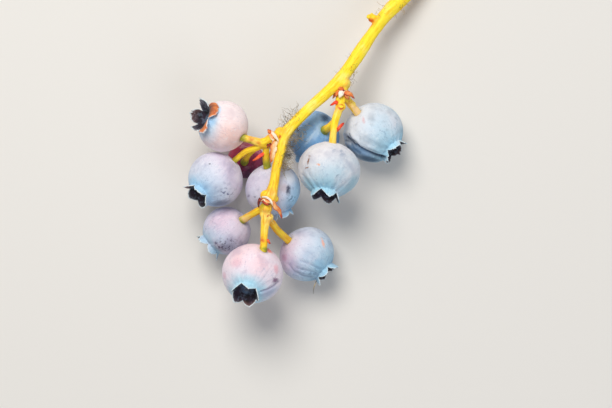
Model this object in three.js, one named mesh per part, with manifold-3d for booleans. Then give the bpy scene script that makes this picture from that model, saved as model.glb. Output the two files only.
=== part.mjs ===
// A picked sprig of highbush blueberries, lying down: ten berries in three clusters on a
// yellow-green twig with papery bud scales. Millimetres, +Z up, and Z = 0 is the surface it
// lies on. It rests on four of its berries and on the cut end of the twig.
import * as THREE from "three";
import { mergeVertices } from "three/addons/utils/BufferGeometryUtils.js";
import Module from "manifold-3d";

const wasm = await Module();
wasm.setup();

const clearance = 0.35; // between a berry or a ring of scales and the twig
const flatDepth = 0.15; // how much of a berry's underside its own weight flattens
const stalkDepth = 0.45; // how far a stalk's end sits below its berry's skin
const berrySides = 20; // four to each of the five calyx lobes
const bodyRings = 9; // rings of a berry's body, from its stalk to its crown
const calyxLobes = 5;
const calyxWall = 0.65;
const cupDepth = 0.8; // from the crown's rim down to the floor of its cup
const collarWall = 0.6; // from a stalk's skin to the outside of the collar round it
const collarLength = 1.0;
const outlineMiddle = [0.93, 0.66]; // the middle of the data below, which becomes X = Y = 0
const up = new THREE.Vector3(0, 0, 1);

// Each berry: its centre, the radius round its middle and its length from pole to pole as a
// share of its width. Then the way its crown points, the crown's radius, the length, flare
// and turn in degrees of the calyx lobes, and the side where its stalk joins. A berry with
// no height lies on the surface.
const berries = [
  {
    name: "berry_top_left",
    centre: [-23.4, 1.2, 15.6], radius: 6.45, length: 0.96,
    crown: [-0.84, 0.34, 0.42], crownRadius: 3.2, lobe: 2.1, flare: 0.75, turn: 56,
    stalk: [0.77, -0.51, 0.38],
  },
  {
    name: "berry_left",
    centre: [-25.4, -12.1, 13.0], radius: 7.0, length: 0.95,
    crown: [-0.65, -0.62, 0.44], crownRadius: 3.2, lobe: 1.6, flare: 0.2, turn: 69,
    stalk: [0.7, 0.71, 0.1],
  },
  {
    name: "berry_lower_left",
    centre: [-22.7, -25.0, 9.5], radius: 6.1, length: 0.97,
    crown: [-0.75, -0.65, -0.1], crownRadius: 3.0, lobe: 1.4, flare: 0.5, turn: 35,
    stalk: [0.69, 0.49, 0.53],
  },
  {
    name: "berry_bottom",
    centre: [-16.1, -35.6, 16.8], radius: 7.65, length: 0.94,
    crown: [-0.23, -0.68, 0.7], crownRadius: 3.3, lobe: 1.9, flare: 0.1, turn: 61,
    stalk: [0.4, 0.8, 0.45],
  },
  {
    name: "berry_bottom_right",
    centre: [-2.6, -30.9], radius: 7.1, length: 0.93,
    crown: [0.71, -0.7, 0.1], crownRadius: 2.95, lobe: 1.3, flare: 0.15, turn: 65,
    stalk: [-0.71, 0.53, 0.47],
  },
  {
    name: "berry_middle",
    centre: [-11.1, -14.5, 11.5], radius: 7.0, length: 0.93,
    crown: [0.35, -0.93, -0.12], crownRadius: 2.5, lobe: 1.6, flare: 0.25, turn: 26,
    stalk: [-0.23, 0.86, 0.46],
  },
  {
    name: "berry_right_front",
    centre: [3.0, -9.7, 17.8], radius: 7.8, length: 0.87,
    crown: [-0.15, -0.93, 0.33], crownRadius: 3.4, lobe: 1.85, flare: 0.1, turn: 43,
    stalk: [0.13, 0.97, 0.2],
  },
  {
    name: "berry_right",
    centre: [14.3, -0.2], radius: 7.6, length: 0.96,
    crown: [0.69, -0.66, 0.3], crownRadius: 3.3, lobe: 1.4, flare: 0.1, turn: 12,
    stalk: [-0.57, 0.67, 0.48],
  },
  {
    name: "berry_behind_twig",
    centre: [-1.0, -1.0], radius: 6.75, length: 0.94,
    crown: [-0.25, -0.88, -0.4], crownRadius: 2.7, lobe: 1.4, flare: 0.25, turn: 0,
    stalk: [0.48, 0.19, 0.85],
  },
  {
    name: "berry_unripe",
    centre: [-18.0, -7.2], radius: 4.75, length: 0.95,
    crown: [0.0, 0.94, -0.3], crownRadius: 2.0, lobe: 1.2, flare: 0.25, turn: 0,
    stalk: [-0.1, -0.16, 0.98],
  },
];

// Stations of the twig and its stalks: x, y, z and the radius there. The twig runs from its
// cut end past the right and left branch points to the tip, where it carries the lowest berry.
const twig = [
  [33.7, 44.2, 1.5, 1.6],
  [27.2, 39.0, 3.7, 1.65],
  [20.5, 32.7, 6.2, 1.9],
  [17.2, 29.2, 7.5, 1.7],
  [14.2, 25.0, 8.7, 1.45],
  [11.0, 20.2, 10.5, 1.7],
  [8.2, 16.0, 12.2, 1.6],
  [5.7, 12.7, 14.0, 1.65],
  [2.5, 9.6, 15.2, 1.45],
  [-1.7, 5.8, 16.7, 1.38],
  [-5.5, 2.0, 18.0, 1.38],
  [-8.1, -1.2, 19.0, 1.5],
  [-9.0, -5.2, 19.8, 1.22],
  [-10.1, -9.5, 20.2, 1.15],
  [-10.7, -13.2, 20.5, 1.2],
  [-11.4, -16.0, 20.4, 1.65],
  [-12.0, -17.3, 20.3, 1.45],
  [-12.6, -19.5, 20.1, 1.25],
  [-12.8, -22.0, 19.9, 1.15],
  [-13.1, -25.5, 19.9, 0.95],
  [-13.2, -28.0, 20.1, 0.9],
];
// Side stalks: the stations from inside the twig outwards, the berry that each ends at and
// the stalk's radius there.
const stalks = [
  {
    to: "berry_right_front",
    tip: 1.0,
    stations: [
      [6.5, 12.2, 14.2, 1.3],
      [6.3, 10.2, 14.3, 1.45],
      [6.0, 8.2, 14.6, 1.3],
      [5.6, 5.6, 15.3, 1.05],
      [4.6, 2.7, 16.5, 0.95],
      [4.1, -0.4, 17.8, 0.88],
    ],
  },
  {
    to: "berry_right",
    tip: 1.1,
    stations: [
      [6.4, 9.8, 14.2, 1.0],
      [7.6, 7.9, 13.5, 0.95],
      [8.9, 6.2, 12.3, 0.95],
    ],
  },
  {
    to: "berry_behind_twig",
    tip: 1.3,
    stations: [
      [4.4, 2.4, 16.4, 0.8],
      [3.1, 1.1, 15.0, 0.85],
    ],
  },
  {
    to: "berry_top_left",
    tip: 1.0,
    stations: [
      [-9.2, -0.9, 18.8, 1.2],
      [-11.2, -2.0, 18.0, 1.4],
      [-13.4, -3.1, 17.5, 1.15],
      [-15.4, -2.6, 17.7, 1.0],
      [-17.1, -2.1, 18.0, 0.92],
    ],
  },
  {
    to: "berry_left",
    tip: 0.8,
    stations: [
      [-12.9, -3.4, 17.3, 0.75],
      [-15.0, -4.2, 16.7, 0.8],
      [-17.5, -5.0, 15.5, 0.75],
      [-19.4, -6.3, 14.2, 0.72],
    ],
  },
  {
    to: "berry_middle",
    tip: 1.0,
    stations: [
      [-12.5, -3.2, 17.3, 0.8],
      [-12.7, -5.3, 16.5, 0.85],
      [-12.7, -7.2, 15.5, 0.92],
    ],
  },
  {
    to: "berry_unripe",
    tip: 1.1,
    stations: [
      [-13.7, -3.6, 17.0, 0.65],
      [-15.7, -4.7, 14.5, 0.7],
      [-17.4, -6.2, 11.8, 0.72],
    ],
  },
  {
    to: "berry_bottom",
    tip: 1.0,
    stations: [
      [-13.1, -25.5, 19.9, 0.85],
      [-13.2, -28.0, 20.1, 0.9],
    ],
  },
  {
    to: "berry_lower_left",
    tip: 1.05,
    stations: [
      [-12.8, -19.0, 19.5, 0.9],
      [-14.7, -20.0, 18.0, 0.92],
      [-16.7, -21.1, 15.6, 0.9],
    ],
  },
  {
    to: "berry_bottom_right",
    tip: 1.0,
    stations: [
      [-12.7, -21.2, 19.5, 0.9],
      [-11.2, -23.0, 17.6, 0.9],
      [-9.7, -25.0, 14.7, 0.92],
    ],
  },
];
// Swollen joints and the side bud, as spheres sunk in the twig: x, y, z, radius.
const swellings = [
  [6.6, 11.8, 14.2, 1.9],
  [-9.0, -0.7, 18.7, 1.75],
  [-11.7, -16.3, 20.3, 1.75],
  [13.9, 28.6, 8.4, 1.2],
  [13.3, 29.1, 8.6, 0.85],
];
// Small pointed bracts that grow from the stalks: root, tip and half width.
const bracts = [
  { root: [4.3, 1.2, 17.1], tip: [6.7, 0.9, 17.6], halfWidth: 0.55 },
  { root: [5.8, 7.2, 14.9], tip: [2.9, 6.6, 14.6], halfWidth: 0.5 },
  { root: [-12.9, -4.7, 16.6], tip: [-16.4, -7.5, 16.2], halfWidth: 0.5 },
  { root: [-13.1, -27.0, 20.0], tip: [-11.5, -28.4, 19.6], halfWidth: 0.45 },
];
// Rings of papery bud scales at the three branch points. Each ring has its middle, the way
// the branch leaves through it, the branch's radius there, and the scales' tips.
const scaleRings = [
  {
    name: "bud_scales_right",
    middle: [6.3, 9.5, 14.3],
    along: [-0.08, -0.98, 0.12],
    radius: 1.75,
    tips: [
      [5.3, 8.2, 16.7],
      [10.0, 8.3, 15.4],
      [4.0, 8.2, 13.4],
    ],
    halfWidth: 0.95,
  },
  {
    name: "bud_scales_left",
    middle: [-11.0, -1.9, 18.1],
    along: [-0.9, -0.4, -0.2],
    radius: 1.8,
    tips: [
      [-11.6, -8.0, 19.5],
      [-12.0, 0.2, 19.3],
      [-12.9, -2.2, 20.2],
    ],
    halfWidth: 1.0,
  },
  {
    name: "bud_scales_tip",
    middle: [-12.2, -17.8, 20.3],
    along: [-0.25, -0.97, 0.0],
    radius: 1.75,
    tips: [
      [-11.5, -19.2, 22.4],
      [-8.8, -21.6, 20.0],
      [-15.0, -18.9, 20.3],
    ],
    halfWidth: 0.9,
  },
];

const yellowBark = new THREE.MeshStandardMaterial({ color: 0xf2cf1d, roughness: 0.5 });
const papery = new THREE.MeshStandardMaterial({ color: 0xd98a3c, roughness: 0.7 });
const bloom = new THREE.MeshStandardMaterial({ color: 0xb9c6dd, roughness: 0.75 });
const blushed = new THREE.MeshStandardMaterial({ color: 0xe6c9d2, roughness: 0.75 });
const unripe = new THREE.MeshStandardMaterial({ color: 0xa2475e, roughness: 0.6 });
const berryMaterials = { berry_top_left: blushed, berry_bottom: blushed, berry_unripe: unripe };

const vector = ([x, y, z]) => new THREE.Vector3(x, y, z);

// A closed geometry as a solid that can be joined and cut.
function solidFrom(geometry) {
  geometry.deleteAttribute("normal");
  geometry.deleteAttribute("uv");
  const merged = mergeVertices(geometry, 1e-4);
  return new wasm.Manifold(
    new wasm.Mesh({
      numProp: 3,
      vertProperties: new Float32Array(merged.getAttribute("position").array),
      triVerts: new Uint32Array(merged.index.array),
    }),
  );
}

// The largest body of a solid as a named mesh: what a cut leaves loose is dropped.
function meshFrom(solid, name, material) {
  const bodies = solid.decompose().sort((a, b) => b.volume() - a.volume());
  const { vertProperties, triVerts } = bodies[0].getMesh();
  const geometry = new THREE.BufferGeometry();
  geometry.setAttribute("position", new THREE.BufferAttribute(vertProperties, 3));
  geometry.setIndex(new THREE.BufferAttribute(triVerts, 1));
  geometry.computeVertexNormals();
  const mesh = new THREE.Mesh(geometry, material);
  mesh.name = name;
  return mesh;
}

// Sweeps an oval section along a smooth curve. A station is x, y, z, half width and half
// thickness, which is the half width if it is left out. `facing` is the thin way.
function sweep(stations, { sides = 8, perSpan = 2, facing = up } = {}) {
  const curve = new THREE.CatmullRomCurve3(stations.map(vector), false, "centripetal");
  const spans = stations.length - 1;
  const geometry = new THREE.CylinderGeometry(1, 1, 1, sides, spans * perSpan);
  const place = geometry.getAttribute("position");
  for (let i = 0; i < place.count; i++) {
    const t = place.getY(i) + 0.5;
    const span = Math.min(Math.floor(t * spans + 1e-6), spans - 1);
    const share = t * spans - span;
    const [near, far] = [stations[span], stations[span + 1]];
    const halfWidth = THREE.MathUtils.lerp(near[3], far[3], share);
    const halfThickness = THREE.MathUtils.lerp(near[4] ?? near[3], far[4] ?? far[3], share);
    const tangent = curve.getTangent(t);
    const side = new THREE.Vector3().crossVectors(tangent, facing).normalize();
    const thin = new THREE.Vector3().crossVectors(side, tangent);
    const point = curve
      .getPoint(t)
      .addScaledVector(side, place.getX(i) * halfWidth)
      .addScaledVector(thin, place.getZ(i) * halfThickness);
    place.setXYZ(i, point.x, point.y, point.z);
  }
  return solidFrom(geometry);
}

function ball([x, y, z, radius]) {
  return solidFrom(new THREE.SphereGeometry(radius, 12, 8).translate(x, y, z));
}

// A berry is an oblate body of revolution. Its height, where none is given, is what leaves
// it standing on the surface with its underside a little flattened.
function centreOf(berry) {
  const [x, y, height] = berry.centre;
  const slant = vector(berry.crown).normalize().z;
  const reach = berry.radius * Math.hypot(Math.sqrt(1 - slant * slant), berry.length * slant);
  return new THREE.Vector3(x, y, height ?? reach - flatDepth);
}

// The point on a berry's skin where its stalk joins, `depth` below the skin.
function stalkSeat(berry, depth) {
  const way = vector(berry.stalk).normalize();
  const cosine = way.dot(vector(berry.crown).normalize());
  const polar = berry.radius * berry.length;
  const reach = 1 / Math.hypot(cosine / polar, Math.sqrt(1 - cosine * cosine) / berry.radius);
  return centreOf(berry).addScaledVector(way, reach - depth);
}

// The whole twig as one solid, every radius larger by `grown`.
function twigSolid(grown) {
  const wider = ([x, y, z, radius]) => [x, y, z, radius + grown];
  const solids = [
    sweep(twig.map(wider), { sides: 10 }),
    ...swellings.map((swelling) => ball(wider(swelling))),
    ...stalks.map(({ to, tip, stations }) => {
      const berry = berries.find(({ name }) => name === to);
      const seat = stalkSeat(berry, stalkDepth + grown).toArray();
      return sweep([...stations, [...seat, tip]].map(wider));
    }),
    ...bracts.map(({ root, tip, halfWidth }) => {
      const middle = root.map((value, axis) => (value + tip[axis]) / 2);
      return sweep(
        [
          [...root, halfWidth + grown, 0.4 + grown],
          [...middle, halfWidth + grown, 0.35 + grown],
          [...tip, 0.3 + grown, 0.3 + grown],
        ],
        { sides: 6, perSpan: 1 },
      );
    }),
  ];
  return solids.reduce((joined, solid) => joined.add(solid));
}

// The twig's solid, the same one grown by the clearance, and what lies below the surface.
const twigBody = twigSolid(0);
const twigRoom = twigSolid(clearance);
const ground = solidFrom(new THREE.BoxGeometry(200, 200, 20).translate(0, 0, -10));

// A berry's solid: a lathe body whose rim is drawn out into five calyx lobes round a cup.
// A profile point is its radius, its height and its share of the lobes.
function berrySolid(berry) {
  const polar = berry.radius * berry.length;
  const rim = berry.crownRadius;
  const rimAngle = Math.PI - Math.asin(rim / berry.radius);
  const rimHeight = -polar * Math.cos(rimAngle);
  const profile = [[0, -polar, 0]];
  for (let ring = 1; ring <= bodyRings; ring++) {
    const angle = (rimAngle * ring) / bodyRings;
    profile.push([berry.radius * Math.sin(angle), -polar * Math.cos(angle), 0]);
  }
  profile.push(
    [rim + 0.02, rimHeight + 0.25, 0.45],
    [rim + 0.1, rimHeight + 0.35, 1],
    [rim + 0.1 - calyxWall, rimHeight + 0.35, 1],
    [rim - calyxWall, rimHeight + 0.1, 0.45],
    [rim - calyxWall, rimHeight - 0.25, 0],
    [rim * 0.45, rimHeight - cupDepth, 0],
    [0, rimHeight - cupDepth + 0.15, 0],
  );
  const points = profile.map(([across, height]) => new THREE.Vector2(across, height));
  const geometry = new THREE.LatheGeometry(points, berrySides);
  const place = geometry.getAttribute("position");
  for (let i = 0; i < place.count; i++) {
    const share = profile[i % profile.length][2];
    const around = Math.atan2(place.getX(i), place.getZ(i));
    const wave = Math.abs((((around * calyxLobes) / Math.PI + 20) % 2) - 1);
    const drawn = share * berry.lobe * wave;
    const spread = 1 + (berry.flare * drawn) / rim;
    place.setXYZ(i, place.getX(i) * spread, place.getY(i) + drawn, place.getZ(i) * spread);
  }
  geometry.rotateY(THREE.MathUtils.degToRad(berry.turn));
  const crown = vector(berry.crown).normalize();
  const tilt = new THREE.Quaternion().setFromUnitVectors(new THREE.Vector3(0, 1, 0), crown);
  const centre = centreOf(berry);
  geometry.applyQuaternion(tilt).translate(centre.x, centre.y, centre.z);
  return solidFrom(geometry).subtract(twigRoom).subtract(ground);
}

// A ring of bud scales: a collar that stands clear of the twig, and the scales that rise
// from it, each one a thin pointed blade.
function scaleRing({ middle, along, radius, tips, halfWidth }) {
  const centre = vector(middle);
  const axis = vector(along).normalize();
  const start = centre.clone().addScaledVector(axis, -collarLength / 2).toArray();
  const end = centre.clone().addScaledVector(axis, collarLength / 2).toArray();
  const outside = radius + collarWall;
  let ring = sweep([[...start, outside], [...end, outside]], { sides: 12, perSpan: 1 });
  for (const tip of tips) {
    const outwards = vector(tip).sub(centre);
    outwards.addScaledVector(axis, -outwards.dot(axis)).normalize();
    const root = centre.clone().addScaledVector(outwards, radius + 0.2).addScaledVector(axis, -0.2);
    const middleOfBlade = root.clone().lerp(vector(tip), 0.55).addScaledVector(outwards, 0.25);
    const blade = sweep(
      [
        [...root.toArray(), halfWidth, 0.36],
        [...middleOfBlade.toArray(), halfWidth * 0.85, 0.34],
        [...tip, 0.32, 0.31],
      ],
      { facing: outwards },
    );
    ring = ring.add(blade);
  }
  return ring.subtract(twigRoom);
}

const sprig = new THREE.Group();
sprig.position.set(-outlineMiddle[0], -outlineMiddle[1], 0);
sprig.add(meshFrom(twigBody.subtract(ground), "twig", yellowBark));
for (const ring of scaleRings) {
  sprig.add(meshFrom(scaleRing(ring), ring.name, papery));
}
for (const berry of berries) {
  sprig.add(meshFrom(berrySolid(berry), berry.name, berryMaterials[berry.name] ?? bloom));
}

export default sprig;
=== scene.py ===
import math

import bmesh
import bpy
import numpy as np
from mathutils import Matrix, Vector, noise


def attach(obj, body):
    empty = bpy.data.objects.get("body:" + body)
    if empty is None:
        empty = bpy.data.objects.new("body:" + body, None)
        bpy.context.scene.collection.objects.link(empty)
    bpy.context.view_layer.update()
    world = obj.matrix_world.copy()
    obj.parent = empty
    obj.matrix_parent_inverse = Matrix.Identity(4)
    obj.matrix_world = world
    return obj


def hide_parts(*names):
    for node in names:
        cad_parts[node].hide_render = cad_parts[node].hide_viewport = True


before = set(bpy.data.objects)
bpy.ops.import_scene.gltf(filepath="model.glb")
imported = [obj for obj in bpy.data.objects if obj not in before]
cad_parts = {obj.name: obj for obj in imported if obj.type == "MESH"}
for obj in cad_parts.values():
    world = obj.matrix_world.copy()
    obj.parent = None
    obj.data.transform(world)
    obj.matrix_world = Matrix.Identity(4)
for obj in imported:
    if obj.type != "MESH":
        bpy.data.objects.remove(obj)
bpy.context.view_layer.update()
print("frame loaded:", len(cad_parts), "nodes")

mm = 0.001
outlineMiddle = (0.93, 0.66)  # mm, the middle of the data below, which becomes X = Y = 0


# shared helpers


def toMetres(points):
    return (np.asarray(points, float) - (*outlineMiddle, 0)) * mm


def readSurface(piece):
    # a mesh's points in millimetres and its normals
    points, normals = (np.empty(len(piece.data.vertices) * 3) for _ in range(2))
    piece.data.vertices.foreach_get("co", points)
    piece.data.vertices.foreach_get("normal", normals)
    return points.reshape(-1, 3) / mm + (*outlineMiddle, 0), normals.reshape(-1, 3)


def linearColour(colour):
    # a hex colour as linear RGBA; a node is its own colour
    if not isinstance(colour, str):
        return colour
    parts = [int(colour[i : i + 2], 16) / 255 for i in (1, 3, 5)]
    return [c / 12.92 if c <= 0.04045 else ((c + 0.055) / 1.055) ** 2.4 for c in parts] + [1.0]


def smoothStep(low, high, value):
    share = np.clip((np.asarray(value, float) - low) / (high - low), 0, 1)
    return share * share * (3 - 2 * share)


def bell(distance, width):
    return np.exp(-((distance / width) ** 2))


def unit(vector):
    vector = np.asarray(vector, float)
    return vector / np.linalg.norm(vector)


def bumpiness(points, scale, seed):
    # smooth noise at each point, from about -1 to 1; scale is in waves a millimetre
    return np.array([noise.noise(Vector(p) * scale + Vector((seed, seed * 1.7, -seed))) for p in points])


def nearSpots(points, spots):
    # how deep each point lies in the strongest of some soft spots: x, y, z, reach in mm, strength
    shares = [
        strength * bell(np.linalg.norm(points - middle, axis=1), reach) for *middle, reach, strength in spots
    ]
    return np.max(shares, axis=0)


def gridFaces(start, rows, columns, closed=False):
    # the faces between rows of points, the rows being rings or not
    for row in range(start, start + (rows - 1) * columns, columns):
        for a in range(columns if closed else columns - 1):
            b = (a + 1) % columns
            yield row + a, row + b, row + b + columns, row + a + columns


def setAttributes(mesh, attributes):
    for label, values in attributes.items():
        values = np.asarray(values, float)
        kind, slot = ("FLOAT_VECTOR", "vector") if values.ndim == 2 else ("FLOAT", "value")
        mesh.attributes.new(label, kind, "POINT").data.foreach_set(slot, values.ravel())


def makePiece(name, points, faces=(), edges=(), attributes=None):
    # a smooth-shaded object whose place is in its mesh; points are in millimetres
    mesh = bpy.data.meshes.new(name)
    mesh.from_pydata(toMetres(points).tolist(), list(edges), list(faces))
    mesh.polygons.foreach_set("use_smooth", [True] * len(mesh.polygons))
    setAttributes(mesh, attributes or {})
    piece = bpy.data.objects.new(name, mesh)
    bpy.context.collection.objects.link(piece)
    return piece


def turnFacesOut(piece):
    shape = bmesh.new()
    shape.from_mesh(piece.data)
    bmesh.ops.recalc_face_normals(shape, faces=shape.faces)
    shape.to_mesh(piece.data)
    shape.free()


def modify(piece, name, kind, **settings):
    modifier = piece.modifiers.new(name, kind)
    for label, value in settings.items():
        setattr(modifier, label, value)
    return modifier


def settle(piece):
    # turns the modifiers' result into the piece's own plain mesh
    bpy.context.view_layer.update()
    evaluated = piece.evaluated_get(bpy.context.evaluated_depsgraph_get())
    mesh = bpy.data.meshes.new_from_object(evaluated)
    piece.modifiers.clear()
    old = piece.data
    piece.data = mesh
    bpy.data.meshes.remove(old)
    piece.data.name = piece.name
    return piece


def setInputs(tree, node, inputs):
    # an input is a value, a socket or a node, which gives its first live output
    for name, value in inputs.items():
        if isinstance(value, bpy.types.Node):
            value = next(socket for socket in value.outputs if socket.enabled)
        if isinstance(value, bpy.types.NodeSocket):
            tree.links.new(value, node.inputs[name])
        else:
            node.inputs[name].default_value = value


def addNode(tree, kind, inputs=None, **settings):
    node = tree.nodes.new(kind)
    for name, value in settings.items():
        setattr(node, name, value)
    setInputs(tree, node, inputs or {})
    return node


def startMaterial(name):
    # a material, its tree and the place on the object that its patterns follow
    material = bpy.data.materials.new(name)
    material.use_nodes = True
    place = addNode(material.node_tree, "ShaderNodeTexCoord").outputs["Object"]
    return material, material.node_tree, place


def endMaterial(material, bumps, inputs):
    # lays bumps over each other, each a height, a strength and a depth in mm, and sets the surface
    tree = material.node_tree
    under = {}
    for height, strength, depth in bumps:
        raised = {"Strength": strength, "Distance": depth * mm, "Height": height, **under}
        under = {"Normal": addNode(tree, "ShaderNodeBump", raised)}
    setInputs(tree, tree.nodes["Principled BSDF"], {**inputs, **under})
    return material


def makeMask(tree, place, strength, blotches, *fades):
    # how far a layer shows. Its blotches, if any, are noise: their size in mm, their detail and the two
    # values it is pushed between. Each fade takes a source from 0 to 1 between two values.
    if blotches:
        size, detail, low, high = blotches
        soft = {"Vector": place, "Scale": 0.5 / (size * mm), "Detail": detail}
        fades = (*fades, (addNode(tree, "ShaderNodeTexNoise", soft), low, high))
    mask = strength
    for source, low, high in fades:
        if isinstance(source, str):
            source = addNode(tree, "ShaderNodeAttribute", attribute_name=source).outputs["Fac"]
        span = {"Value": source, "From Min": low, "From Max": high}
        faded = addNode(tree, "ShaderNodeMapRange", span, interpolation_type="SMOOTHSTEP")
        mask = addNode(tree, "ShaderNodeMath", {0: faded, 1: mask}, operation="MULTIPLY")
    return mask


def layColours(tree, place, colour, layers):
    # lays colours, hex values or nodes, over each other. A layer has its colour, strength, blotches
    # and any fades, as in makeMask.
    colour = linearColour(colour)
    for over, *shown in layers:
        mask = makeMask(tree, place, *shown)
        colour = addNode(tree, "ShaderNodeMix", {0: mask, 6: colour, 7: linearColour(over)}, data_type="RGBA")
    return colour


def startNodes(name, inputs):
    # an empty geometry tree with named inputs, given as name: kind
    tree = bpy.data.node_groups.new(name, "GeometryNodeTree")
    tree.interface.new_socket("Geometry", in_out="OUTPUT", socket_type="NodeSocketGeometry")
    for label, kind in {"Geometry": "Geometry", **inputs}.items():
        tree.interface.new_socket(label, in_out="INPUT", socket_type=f"NodeSocket{kind}")
    return tree, tree.nodes.new("NodeGroupInput")


def endNodes(tree, given, shape):
    real = addNode(tree, "GeometryNodeRealizeInstances", {"Geometry": shape})
    painted = {"Geometry": real, "Material": given.outputs["Material"]}
    addNode(tree, "NodeGroupOutput", {0: addNode(tree, "GeometryNodeSetMaterial", painted)})
    return tree


def runNodes(piece, tree, values):
    # runs the tree with its inputs set by their identifiers, and keeps the result
    modifier = modify(piece, tree.name, "NODES", node_group=tree)
    for item in tree.interface.items_tree:
        if item.in_out == "INPUT" and item.name in values:
            modifier[item.identifier] = values[item.name]
    settle(piece)


# the sprig's layout, in millimetres, as in the solids

flatDepth = 0.15  # a resting berry is flattened by this much

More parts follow.
